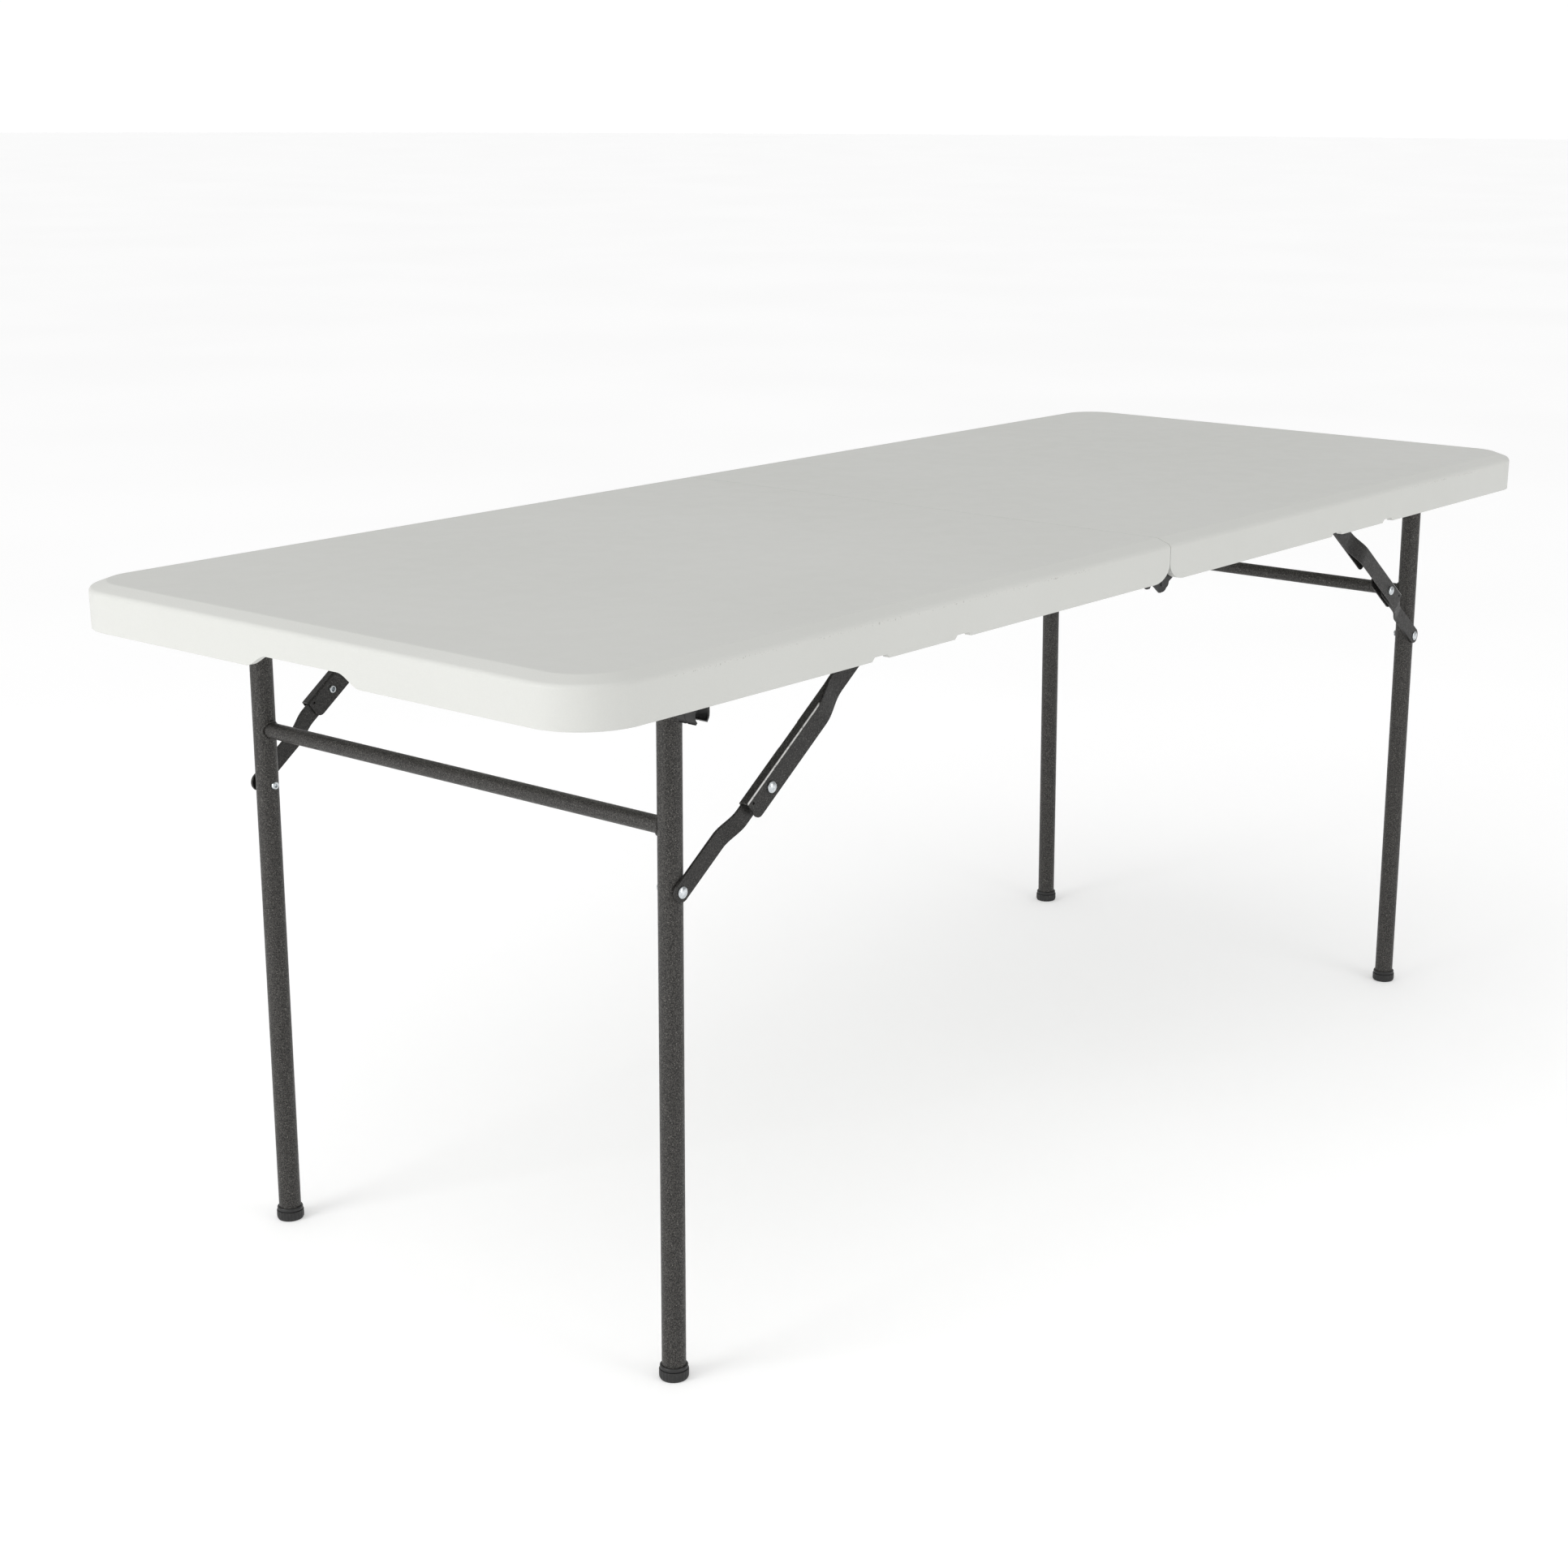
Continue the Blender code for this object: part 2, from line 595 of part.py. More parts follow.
def knuckle_rivet(name, side, material, pivot):
    inner = CHANNEL_INNER_OUT - TOUCH_GAP
    outer = CHANNEL_OUTER_OUT + TOUCH_GAP
    profile = [(0, inner - 0.0006), (0.002, inner - 0.0006), (0.0024, inner - 0.0018)]
    profile += [(0.0036, inner - 0.0018), (0.0042, inner), (RIVET_SHANK, inner), (RIVET_SHANK, outer)]
    profile += [(RIVET_HEAD, outer)] + dome(RIVET_HEAD, outer + 0.0005, 0.003)
    return rivet(name, profile, side, material, pivot, (UPPER_LINK, 0, 0))


def leg_rivet_head(name, side, material, knuckle):
    base = LOW_LAYER_OUT + LINK_THICKNESS + TOUCH_GAP
    inner = LOW_LAYER_OUT + TOUCH_GAP
    profile = [(0, inner), (RIVET_SHANK, inner), (RIVET_SHANK, base)]
    profile += [(RIVET_HEAD, base)] + dome(RIVET_HEAD, base + 0.0003, 0.0020)
    return rivet(name, profile, side, material, knuckle, (LOWER_LINK, 0, 0))


def leg_rivet_tail(name, side, material, pivot):
    face = LEG_OUT - LEG_RADIUS - TOUCH_GAP
    profile = [(0, face - 0.0008), (0.002, face - 0.0008), (0.0025, face - 0.0022)]
    profile += [(0.0042, face - 0.0022), (0.005, face - 0.001), (0.005, face), (0, face)]
    return rivet(name, profile, side, material, pivot, (0, 0, -LEG_RIVET_BELOW_PIVOT))


def brace_pivot_rivet(name, side, material, parent):
    link_face = CHANNEL_INNER_OUT - TOUCH_GAP
    ear = BRIDGE_INNER_OUT + BRIDGE_SHEET + TOUCH_GAP
    profile = [(0, link_face - 0.002), (0.005, link_face - 0.002), (0.006, link_face - 0.001)]
    profile += [(0.006, link_face), (RIVET_SHANK, link_face), (RIVET_SHANK, ear)]
    profile += [(0.005, ear), (0.005, ear + 0.0015), (0, ear + 0.0015)]
    return rivet(name, profile, side, material, parent, (UPPER_PIVOT_X, 0, PIVOT_Z))


# ---------------------------------------------------------------- closing clips
def clip_outline(inset):
    """(x, z) outline of the clip: a block with a C below it, open downwards."""
    bore = PIVOT_TUBE_RADIUS + TOUCH_GAP
    outer = bore + CLIP_WALL - inset
    claw_z = 2 * (HINGE_Z - PIVOT_Z)
    top = PANEL_UNDERSIDE_Z - TOUCH_GAP - PIVOT_Z
    lip = 0.0006                      # each prong's tip turns out a little
    right = [(outer, top)] + arc((0, claw_z), outer, 0, -CLIP_MOUTH, 4)
    tip = right[-1]
    right += [(tip[0] + lip, tip[1] - lip)]
    right += arc((0, claw_z), bore, -CLIP_MOUTH - 2, 90, 9)
    left = [(-x, z) for x, z in reversed(right[:-1])]
    return right + left


def closing_clip(name, side, material, parent):
    """Block that holds the pivot tube and, below it, a C for the other half's tube."""
    layers = [CLIP_OUT[0], *CLIP_GROOVE_OUT, CLIP_OUT[1]]
    groove = CLIP_GROOVE_OUT[1:3]
    sections = []
    for out in layers:
        inset = CLIP_GROOVE_DEPTH if out in groove else 0
        sections.append([(x, out, z) for x, z in clip_outline(inset)])
    clip = finish_object(name, mirror_out(loft(sections), side), material, parent, smooth=30)
    clip.location = (PIVOT_X, 0, PIVOT_Z)
    middle = (CLIP_OUT[0] + CLIP_OUT[1]) / 2
    cut(clip, drill(name + "_bore_cut", 0, middle, 0, PIVOT_TUBE_RADIUS + TOUCH_GAP, 0.020, side))
    return clip


# ---------------------------------------------------------------- fold hinges
def hinge_leaf(name, direction, side, outer_layer, material):
    """Leaf plate in the XZ plane, from the rail's end to the pin.

    The outer leaf steps out by one layer before the pin. The inner leaf
    carries a second lobe beside the pin.
    """
    low, high = HINGE_LEAF_Z
    low -= HINGE_Z
    high -= HINGE_Z
    radius = HINGE_LOBE_RADIUS
    outline = [(HINGE_LEAF_REACH, low), (HINGE_LEAF_REACH, high), (0.004, high - 0.004)]
    if outer_layer:
        outline += arc((0, 0), radius, 110, 250, 8)
        outline += [(0.0045, -radius), (0.018, -0.0005), (0.0205, 0.0025), (0.0225, 0.0025)]
        outline += [(0.0245, -0.0008), (0.0262, -0.0026), (0.0318, -0.0026), (0.0340, -0.0008)]
        outline += [(0.0360, 0.0025), (0.040, low - 0.0005)]
    else:
        outline += arc((0, 0), radius - 0.001, 110, 300, 10)
        outline += arc(HINGE_SECOND_LOBE, HINGE_SECOND_LOBE_RADIUS, 225, 330, 5)
        outline += [(0.0185, -0.001), (0.0255, 0.0023), (0.032, low)]
    bm = prism(outline, HINGE_INNER_OUT, HINGE_INNER_OUT + HINGE_LEAF)
    if outer_layer:
        for x in HINGE_STEP_X:
            geometry = bm.verts[:] + bm.edges[:] + bm.faces[:]
            bmesh.ops.bisect_plane(bm, geom=geometry, plane_co=(x, 0, 0), plane_no=(1, 0, 0))
        step = HINGE_OUTER_OUT - HINGE_INNER_OUT
        stepped = [v for v in bm.verts if v.co.x < HINGE_STEP_X[0] + TOUCH_GAP]
        bmesh.ops.translate(bm, verts=stepped, vec=(0, step, 0))
    if direction < 0:
        bmesh.ops.scale(bm, verts=bm.verts, vec=(-1, 1, 1))
        bmesh.ops.reverse_faces(bm, faces=bm.faces)
    leaf = finish_object(name, mirror_out(bm, side), material, None, smooth=30)
    leaf.location = (0, 0, HINGE_Z)
    hole = drill(name + "_hole_cut", 0, HINGE_OUTER_OUT, 0, HINGE_PIN_RADIUS + TOUCH_GAP, 0.012, side)
    cut(leaf, hole)
    return leaf


def hinge_pin(name, side, material):
    inner = HINGE_INNER_OUT - TOUCH_GAP
    outer = HINGE_OUTER_OUT + HINGE_LEAF
    profile = [(0, inner - 0.002), (0.0065, inner - 0.002), (0.0065, inner)]
    profile += [(HINGE_PIN_RADIUS, inner), (HINGE_PIN_RADIUS, outer + 0.0006), (0.003, outer + 0.001)]
    profile += [(0, outer + 0.001)]
    return rivet(name, profile, side, material, None, (0, 0, HINGE_Z))


# ---------------------------------------------------------------- assembly
def build_side(end, side, frames, materials):
    """Everything that an end has once on each long side."""
    place = f"{end}_{side_name(end, side)}"
    base, pivot = frames
    steel = materials["steel"]
    zinc = materials["zinc"]
    side_rail(f"side_rail_{place}", side, steel, base)
    pivot_bracket(f"pivot_bracket_{place}", side, steel, base)
    brace_bracket(f"brace_bracket_{place}", side, steel, base)
    brace_pivot_rivet(f"brace_pivot_rivet_{place}", side, zinc, base)
    leg_tube(f"leg_tube_{place}", side, steel, pivot)
    foot_cap(f"foot_cap_{place}", side, materials["black"], pivot)
    leg_rivet_tail(f"leg_rivet_tail_{place}", side, zinc, pivot)
    upper = empty(f"upper_link_pivot_{place}", (UPPER_PIVOT_X, 0, PIVOT_Z), (0, BRACE_ANGLE, 0), base)
    upper_link(f"upper_link_{place}", side, steel, upper)
    knuckle_rivet(f"knuckle_rivet_{place}", side, zinc, upper)
    knuckle = empty(f"knuckle_{place}", (UPPER_LINK, 0, 0), (0, 0, 0), upper)
    lower_link(f"lower_link_{place}", side, steel, knuckle)
    leg_rivet_head(f"leg_rivet_head_{place}", side, zinc, knuckle)
    if end == "left":
        closing_clip(f"closing_clip_{place}", side, materials["black"], base)


def build_end(end, turn, materials):
    base = empty(f"frame_{end}", (0, 0, 0), (0, 0, turn))
    pivot = empty(f"leg_pivot_{end}", (PIVOT_X, 0, PIVOT_Z), (0, -SPLAY, 0), base)
    tabletop(f"tabletop_{end}", materials["plastic"], base)
    pivot_tube(f"pivot_tube_{end}", materials["steel"], pivot)
    crossbar(f"crossbar_{end}", materials["steel"], pivot)
    for side in (-1, 1):
        build_side(end, side, (base, pivot), materials)


def build_hinges(materials):
    for place, side in (("near", -1), ("far", 1)):
        hinge_leaf(f"fold_hinge_leaf_left_{place}", -1, side, True, materials["hinge"])
        hinge_leaf(f"fold_hinge_leaf_right_{place}", 1, side, False, materials["hinge"])
        hinge_pin(f"fold_hinge_pin_{place}", side, materials["zinc"])


def main():
    for obj in list(bpy.data.objects):
        bpy.data.objects.remove(obj, do_unlink=True)
    materials = {
        "plastic": make_material("moulded_polyethylene", (0.66, 0.67, 0.64), 0.5, 0.0),
        "steel": make_material("hammertone_steel", (0.065, 0.063, 0.060), 0.45, 0.4),
        "hinge": make_material("black_hinge_steel", (0.02, 0.02, 0.02), 0.45, 0.3),
        "zinc": make_material("zinc_plated_rivet", (0.62, 0.64, 0.66), 0.25, 1.0),
        "black": make_material("black_plastic", (0.012, 0.012, 0.012), 0.5, 0.0),
    }
    for end, turn in ENDS.items():
        build_end(end, turn, materials)
    build_hinges(materials)


main()
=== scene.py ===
"""Looks of the fold-in-half utility table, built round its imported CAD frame.

Each end is described once in a local frame whose +X points from the seam to the
table's end, and whose +Y side is mirrored for the other long side. "Out" is the
distance from the table's centreline.
"""

import json
import math

import bmesh
import bpy
from mathutils import Matrix, Vector, noise


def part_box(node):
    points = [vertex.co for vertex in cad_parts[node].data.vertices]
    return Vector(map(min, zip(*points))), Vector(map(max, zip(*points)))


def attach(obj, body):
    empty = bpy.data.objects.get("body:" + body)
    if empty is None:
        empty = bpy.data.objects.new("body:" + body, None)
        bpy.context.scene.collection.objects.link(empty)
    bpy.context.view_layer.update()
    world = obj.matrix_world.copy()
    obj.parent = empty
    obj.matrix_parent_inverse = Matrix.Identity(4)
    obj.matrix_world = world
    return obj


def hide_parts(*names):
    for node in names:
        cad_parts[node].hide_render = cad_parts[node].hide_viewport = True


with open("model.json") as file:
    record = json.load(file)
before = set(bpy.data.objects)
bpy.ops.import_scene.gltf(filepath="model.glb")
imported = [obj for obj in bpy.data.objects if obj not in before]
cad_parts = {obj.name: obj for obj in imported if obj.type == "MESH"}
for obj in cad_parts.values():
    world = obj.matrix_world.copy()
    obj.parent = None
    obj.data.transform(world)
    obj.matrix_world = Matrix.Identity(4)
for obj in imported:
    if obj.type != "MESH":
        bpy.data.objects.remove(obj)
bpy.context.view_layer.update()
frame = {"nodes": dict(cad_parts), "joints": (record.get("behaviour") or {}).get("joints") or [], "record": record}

# ---------------------------------------------------------------- facts from the frame
JOINTS = {joint["name"]: Vector(joint["pos_m"]) for joint in frame["joints"]}
MOUNTS = {mount["name"]: Vector(mount["pos_m"]) for mount in frame["record"]["mounts"]}
BODIES = frame["record"]["behaviour"]["bodies"]


def centre(node):
    low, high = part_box(node)
    return (low + high) / 2


def half_size(node):
    low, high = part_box(node)
    return (high - low) / 2


TOP_LOW, TOP_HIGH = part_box("tabletop_right")
END_X = TOP_HIGH.x
HALF_WIDTH = TOP_HIGH.y
HEIGHT = TOP_HIGH.z
SKIRT_BOTTOM_Z = TOP_LOW.z
SEAM_X = TOP_LOW.x

PIVOT = JOINTS["leg_fold_right"]
UPPER_PIVOT = JOINTS["brace_top_right_far"]
KNUCKLE = JOINTS["brace_knuckle_right_far"]
SPLAY = math.atan((MOUNTS["foot_right_far"].x - PIVOT.x) / PIVOT.z)
LEG_LENGTH = PIVOT.z / math.cos(SPLAY)
LEG_OUT = centre("foot_cap_right_far").y
FOOT_RADIUS = half_size("foot_cap_right_far").y
LEG_RADIUS = half_size("leg_tube_right_far").y
PIVOT_TUBE_RADIUS = half_size("pivot_tube_right").z
PIVOT_TUBE_OUT = half_size("pivot_tube_right").y
CROSSBAR_RADIUS = half_size("crossbar_right").z
CROSSBAR_BELOW = (PIVOT.z - centre("crossbar_right").z) / math.cos(SPLAY)
LEG_RIVET = centre("leg_rivet_tail_right_far")
LEG_RIVET_BELOW = math.hypot(LEG_RIVET.x - PIVOT.x, LEG_RIVET.z - PIVOT.z)
BRACE_ANGLE = math.atan2(UPPER_PIVOT.z - KNUCKLE.z, KNUCKLE.x - UPPER_PIVOT.x)
UPPER_LINK = math.hypot(UPPER_PIVOT.z - KNUCKLE.z, KNUCKLE.x - UPPER_PIVOT.x)
LOWER_LINK = math.hypot(KNUCKLE.z - LEG_RIVET.z, KNUCKLE.x - LEG_RIVET.x)

# ---------------------------------------------------------------- dimensions of the detail
GAP = 0.0003                  # between pieces that touch

CORNER_RADIUS = 0.065
BORDER_WIDTH = 0.018
BORDER_SLOPE = 0.36
CREASE = 0.0012               # half width of the soft line between plateau and border
EDGE_RADIUS = 0.0055
SKIRT_WALL = 0.008
PANEL_UNDERSIDE_Z = 0.7185
FOLD_WALL = 0.012
FOLD_CORNER = (0.029, 0.020)
HAND_RECESS_HALF = 0.050
HAND_RECESS_RUNOUT = 0.032
HAND_RECESS_RISE = 0.0125
RIM_NOTCH_X = (0.384, 0.516)
RIM_NOTCH_WIDTH = 0.027
RIM_NOTCH_SLOPE = 0.004
RIM_NOTCH_DEPTH = 0.004
RIM_ROUNDING = 0.0013

RAIL_INNER_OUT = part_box("side_rail_right_far")[0].y
DIMPLE_PITCH = 0.062
DIMPLE_MOUTH = 0.0105
DIMPLE_BOTTOM = 0.0045
DIMPLE_DEPTH = 0.0115

CHANNEL_SHEET = 0.0015
CHANNEL_INNER_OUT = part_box("upper_link_right_far")[0].y
CHANNEL_OUTER_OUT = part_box("upper_link_right_far")[1].y
FLAT_OUTER_OUT = CHANNEL_INNER_OUT + 2 * CHANNEL_SHEET + 0.0002
CHANNEL_HEIGHT = 0.024
CHANNEL_BEND = 0.0024         # outer radius of the pressed corners
CHANNEL_PAST_KNUCKLE = 0.033
FLAT_END = 0.070
FLAT_TO_CHANNEL = 0.114
NOTCH_FROM_KNUCKLE = (0.038, 0.072)
JOGGLE_FROM_KNUCKLE = (0.041, 0.073)
LINK_WIDTH = 0.020
LINK_THICKNESS = 0.0028
LOW_LAYER_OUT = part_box("lower_link_right_far")[0].y
HIGH_LAYER_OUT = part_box("lower_link_right_far")[1].y - LINK_THICKNESS
RIVET_SHANK = 0.003
RIVET_HEAD = 0.0060

FOOT_HEIGHT = 0.0145
FOOT_FLOOR = 0.005            # thickness of the cap under the tube

CROSSBAR_WALL = 0.0012
PIVOT_TUBE_WALL = 0.0015
CROSSBAR_BEAD = 0.0017        # radius of the weld bead
PIVOT_BEAD = 0.0014

TUBE_SIDES = 64
RIVET_SIDES = 40
HOLE_SIDES = 28

ENDS = {"left": Matrix.Rotation(math.pi, 4, "Z"), "right": Matrix.Identity(4)}


# ---------------------------------------------------------------- node materials
MIX_FACTOR, MIX_A, MIX_B = 0, 6, 7    # sockets of a Mix node that blends colours
MIX_RESULT = 2


class Graph:
    """Short calls for building one material's nodes."""

    def __init__(self, name):
        self.material = bpy.data.materials.new(name)
        self.material.use_nodes = True
        self.tree = self.material.node_tree
        self.shader = self.tree.nodes["Principled BSDF"]
        self.coords = self.add("ShaderNodeTexCoord").outputs["Object"]

    def add(self, kind, inputs=None, **settings):
        node = self.tree.nodes.new(kind)
        for key, value in settings.items():
            setattr(node, key, value)
        for key, value in (inputs or {}).items():
            if isinstance(value, bpy.types.NodeSocket):
                self.tree.links.new(value, node.inputs[key])
            else:
                node.inputs[key].default_value = value
        return node

    def noise(self, scale, detail=3.0, roughness=0.5, distortion=0.0):
        inputs = {"Vector": self.coords, "Scale": scale, "Detail": detail}
        inputs.update({"Roughness": roughness, "Distortion": distortion})
        return self.add("ShaderNodeTexNoise", inputs).outputs["Fac"]

    def maths(self, operation, a, b=0.0):
        return self.add("ShaderNodeMath", {0: a, 1: b}, operation=operation).outputs[0]

    def remap(self, value, low, high, to_low=0.0, to_high=1.0):
        inputs = {"Value": value, "From Min": low, "From Max": high}
        inputs.update({"To Min": to_low, "To Max": to_high})
        return self.add("ShaderNodeMapRange", inputs, interpolation_type="SMOOTHSTEP").outputs["Result"]

    def mix(self, factor, a, b):
        """Blend two colours; a fixed colour is given as three numbers."""
        colours = [c if isinstance(c, bpy.types.NodeSocket) else (*c, 1.0) for c in (a, b)]
        inputs = {MIX_FACTOR: factor, MIX_A: colours[0], MIX_B: colours[1]}
        return self.add("ShaderNodeMix", inputs, data_type="RGBA").outputs[MIX_RESULT]

    def bump(self, height, distance, strength=1.0, before=None):
        inputs = {"Height": height, "Distance": distance, "Strength": strength}
        if before is not None:
            inputs["Normal"] = before
        return self.add("ShaderNodeBump", inputs).outputs["Normal"]

    def set(self, **inputs):
        """Each key is a shader socket's name with underscores for its spaces."""
        for key, value in inputs.items():
            socket = self.shader.inputs[key.replace("_", " ")]
            if isinstance(value, bpy.types.NodeSocket):
                self.tree.links.new(value, socket)
            else:
                socket.default_value = value
        return self.material


def moulded_plastic():
    """Off-white blow-moulded polyethylene: pebbled skin, faint clouding, specks, a scuffed edge."""
    g = Graph("moulded_plastic")
    cloud = g.noise(2.2, 3.0, 0.5)
    base = g.mix(g.remap(cloud, 0.3, 0.7), (0.578, 0.583, 0.556), (0.598, 0.602, 0.577))
    grain = g.noise(800.0, 2.0, 0.6)
    base = g.mix(g.remap(grain, 0.3, 0.7, 0.0, 0.10), base, (0.48, 0.48, 0.455))
    fleck = g.add("ShaderNodeTexVoronoi", {"Vector": g.coords, "Scale": 110.0})
    picked = g.add("ShaderNodeSeparateColor", {"Color": fleck.outputs["Color"]})
    chosen = g.maths("GREATER_THAN", picked.outputs[0], 0.9955)
    dot = g.remap(fleck.outputs["Distance"], 0.04, 0.08, 1.0, 0.0)
    specks = g.maths("MULTIPLY", chosen, dot)
    place = g.add("ShaderNodeSeparateXYZ", {"Vector": g.coords}).outputs
    above = g.remap(place["Z"], HEIGHT - 0.0125, HEIGHT - 0.0112)
    below = g.remap(place["Z"], HEIGHT - 0.0098, HEIGHT - 0.0086, 1.0, 0.0)
    rim = g.maths("MULTIPLY", above, below)
    off_ends = g.remap(g.maths("ABSOLUTE", place["X"]), END_X - 0.13, END_X - 0.08, 1.0, 0.0)
    rim = g.maths("MULTIPLY", rim, off_ends)
    patches = g.remap(g.noise(5.1, 2.0), 0.46, 0.58)
    crumbs = g.remap(g.noise(400.0, 3.0, 0.6), 0.57, 0.63)
    scuff = g.maths("MULTIPLY", g.maths("MULTIPLY", rim, patches), crumbs)
    marks = g.maths("MAXIMUM", g.maths("MULTIPLY", specks, 0.75), g.maths("MULTIPLY", scuff, 0.36))
    colour = g.mix(marks, base, (0.15, 0.14, 0.12))
    pebble = g.noise(620.0, 2.0, 0.6)
    waviness = g.noise(7.0, 2.0, 0.5)
    normal = g.bump(waviness, 0.0010, 0.15)
    normal = g.bump(pebble, 0.00022, 0.60, normal)
    roughness = g.remap(g.noise(40.0, 3.0), 0.3, 0.7, 0.46, 0.54)
    return g.set(
        Base_Color=colour, Roughness=roughness, Normal=normal,
        Specular_IOR_Level=0.42, Coat_Weight=0.04, Coat_Roughness=0.35,
    )


GLINT_GAIN = 4.5              # how much brighter a glint is than the coat's light tone


def hammertone_steel(name, dark, light):
    """Dark grey hammertone coat: fine cells and painted glints, faint runs high on the far side, worn bends with a
    painted highlight along them.
    """
    g = Graph(name)
    cells = g.add("ShaderNodeTexVoronoi", {"Vector": g.coords, "Scale": 700.0})
    grain = g.noise(1300.0, 2.0, 0.6)
    cell_tone = g.maths("MULTIPLY", cells.outputs["Distance"], 0.9)
    tone = g.maths("ADD", cell_tone, g.maths("MULTIPLY", grain, 0.5))
    base = g.mix(g.remap(tone, 0.35, 0.95), dark, light)
    # painted glints: bright specks painted into the coat's colour as its sparkle
    glint = g.remap(g.noise(1100.0, 1.0, 0.5), 0.63, 0.69)
    glint_colour = tuple(GLINT_GAIN * channel for channel in light)
    base = g.mix(g.maths("MULTIPLY", glint, 0.65), base, glint_colour)
    place = g.add("ShaderNodeSeparateXYZ", {"Vector": g.coords}).outputs
    on_far_side = g.remap(place["Y"], 0.0, 0.1)
    ridge = g.maths("ABSOLUTE", g.maths("SUBTRACT", g.noise(17.0, 2.0, 0.5, 0.9), 0.5))
    drip = g.remap(ridge, 0.0018, 0.0042, 1.0, 0.0)
    drip = g.maths("MULTIPLY", drip, g.remap(place["Z"], 0.60, 0.66))
    drip = g.maths("MULTIPLY", drip, on_far_side)
    drip = g.maths("MULTIPLY", drip, g.remap(g.noise(8.0), 0.38, 0.48))
    base = g.mix(g.maths("MULTIPLY", drip, 0.6), base, (0.32, 0.31, 0.30))
    # bend mask: coat worn through on the outer bend, plus a painted highlight along it; both go into the colour
    # below
    bend = g.add("ShaderNodeAttribute", attribute_name="worn_and_highlit_bend").outputs["Fac"]
    rubbed_and_highlit = g.remap(g.noise(210.0, 3.0, 0.6), 0.28, 0.50)
    rubbed_and_highlit = g.maths("MULTIPLY", rubbed_and_highlit, bend)
    base = g.mix(g.maths("MULTIPLY", rubbed_and_highlit, 0.9), base, (0.82, 0.81, 0.79))
    normal = g.bump(cells.outputs["Distance"], 0.0003, 0.5)
    normal = g.bump(g.noise(140.0, 2.0), 0.0004, 0.25, normal)
    normal = g.bump(drip, 0.0003, 0.8, normal)
    roughness = g.remap(g.noise(300.0, 2.0), 0.3, 0.7, 0.38, 0.50)
    return g.set(
        Base_Color=base, Roughness=roughness, Normal=normal, Metallic=0.25,
        Specular_IOR_Level=0.36, Coat_Weight=0.03, Coat_Roughness=0.30,
    )


def hinge_steel():
    """Black coated pressed steel, a little worn."""
    g = Graph("hinge_steel")
    worn = g.remap(g.noise(160.0, 4.0, 0.6), 0.56, 0.74)
    base = g.mix(g.maths("MULTIPLY", worn, 0.5), (0.022, 0.022, 0.022), (0.12, 0.12, 0.115))
    normal = g.bump(g.noise(420.0, 3.0), 0.0002, 0.5)
    roughness = g.remap(g.noise(80.0, 3.0), 0.3, 0.7, 0.34, 0.52)
    return g.set(Base_Color=base, Roughness=roughness, Normal=normal, Metallic=0.45, Specular_IOR_Level=0.5)


def zinc_plate():
    """Bright zinc on the rivets, with faint clouding."""
    g = Graph("zinc_plate")
    cloud = g.noise(260.0, 3.0, 0.6)
    base = g.mix(g.remap(cloud, 0.35, 0.65), (0.50, 0.53, 0.55), (0.70, 0.73, 0.75))
    normal = g.bump(g.noise(1200.0, 2.0), 0.00012, 0.4)
    roughness = g.remap(cloud, 0.3, 0.7, 0.16, 0.34)
    return g.set(Base_Color=base, Roughness=roughness, Normal=normal, Metallic=1.0)


def dark_zinc():
    """Black zinc plating on the hinge pins."""
    g = Graph("dark_zinc")
    worn = g.remap(g.noise(300.0, 3.0, 0.6), 0.5, 0.75)
    base = g.mix(g.maths("MULTIPLY", worn, 0.6), (0.030, 0.030, 0.031), (0.16, 0.16, 0.16))
    normal = g.bump(g.noise(900.0, 2.0), 0.00012, 0.4)
    return g.set(Base_Color=base, Roughness=g.remap(worn, 0, 1, 0.30, 0.42), Normal=normal, Metallic=0.8)


def black_plastic():
    """Satin black moulded plastic."""
    g = Graph("black_plastic")
    dust = g.remap(g.noise(120.0, 4.0, 0.65), 0.52, 0.78)
    base = g.mix(g.maths("MULTIPLY", dust, 0.5), (0.014, 0.014, 0.014), (0.060, 0.059, 0.056))
    normal = g.bump(g.noise(700.0, 2.0), 0.00015, 0.5)
    roughness = g.remap(g.noise(60.0, 3.0), 0.3, 0.7, 0.36, 0.52)
    return g.set(Base_Color=base, Roughness=roughness, Normal=normal, Specular_IOR_Level=0.45)


def floor_paint():
    """Pale studio floor with a slight glow, so that it stays close to white."""
    g = Graph("floor_paint")
    tone = g.mix(g.remap(g.noise(0.7, 2.0), 0.3, 0.7), (0.85, 0.85, 0.85), (0.87, 0.87, 0.87))
    return g.set(
        Base_Color=tone, Roughness=0.9, Specular_IOR_Level=0.1,
        Emission_Color=(1.0, 1.0, 1.0, 1.0), Emission_Strength=0.22,
    )


PLASTIC = moulded_plastic()
STEEL = hammertone_steel("hammertone_steel", (0.0034, 0.0032, 0.0028), (0.050, 0.0475, 0.0441))
# painted shade: a darker copy of the leg coat for the brace links, which sit in shade under the top
SHADED_LINK_STEEL = hammertone_steel("shaded_link_steel", (0.0022, 0.0021, 0.0019), (0.028, 0.0268, 0.0252))
HINGE = hinge_steel()
ZINC = zinc_plate()
DARK_ZINC = dark_zinc()
BLACK = black_plastic()


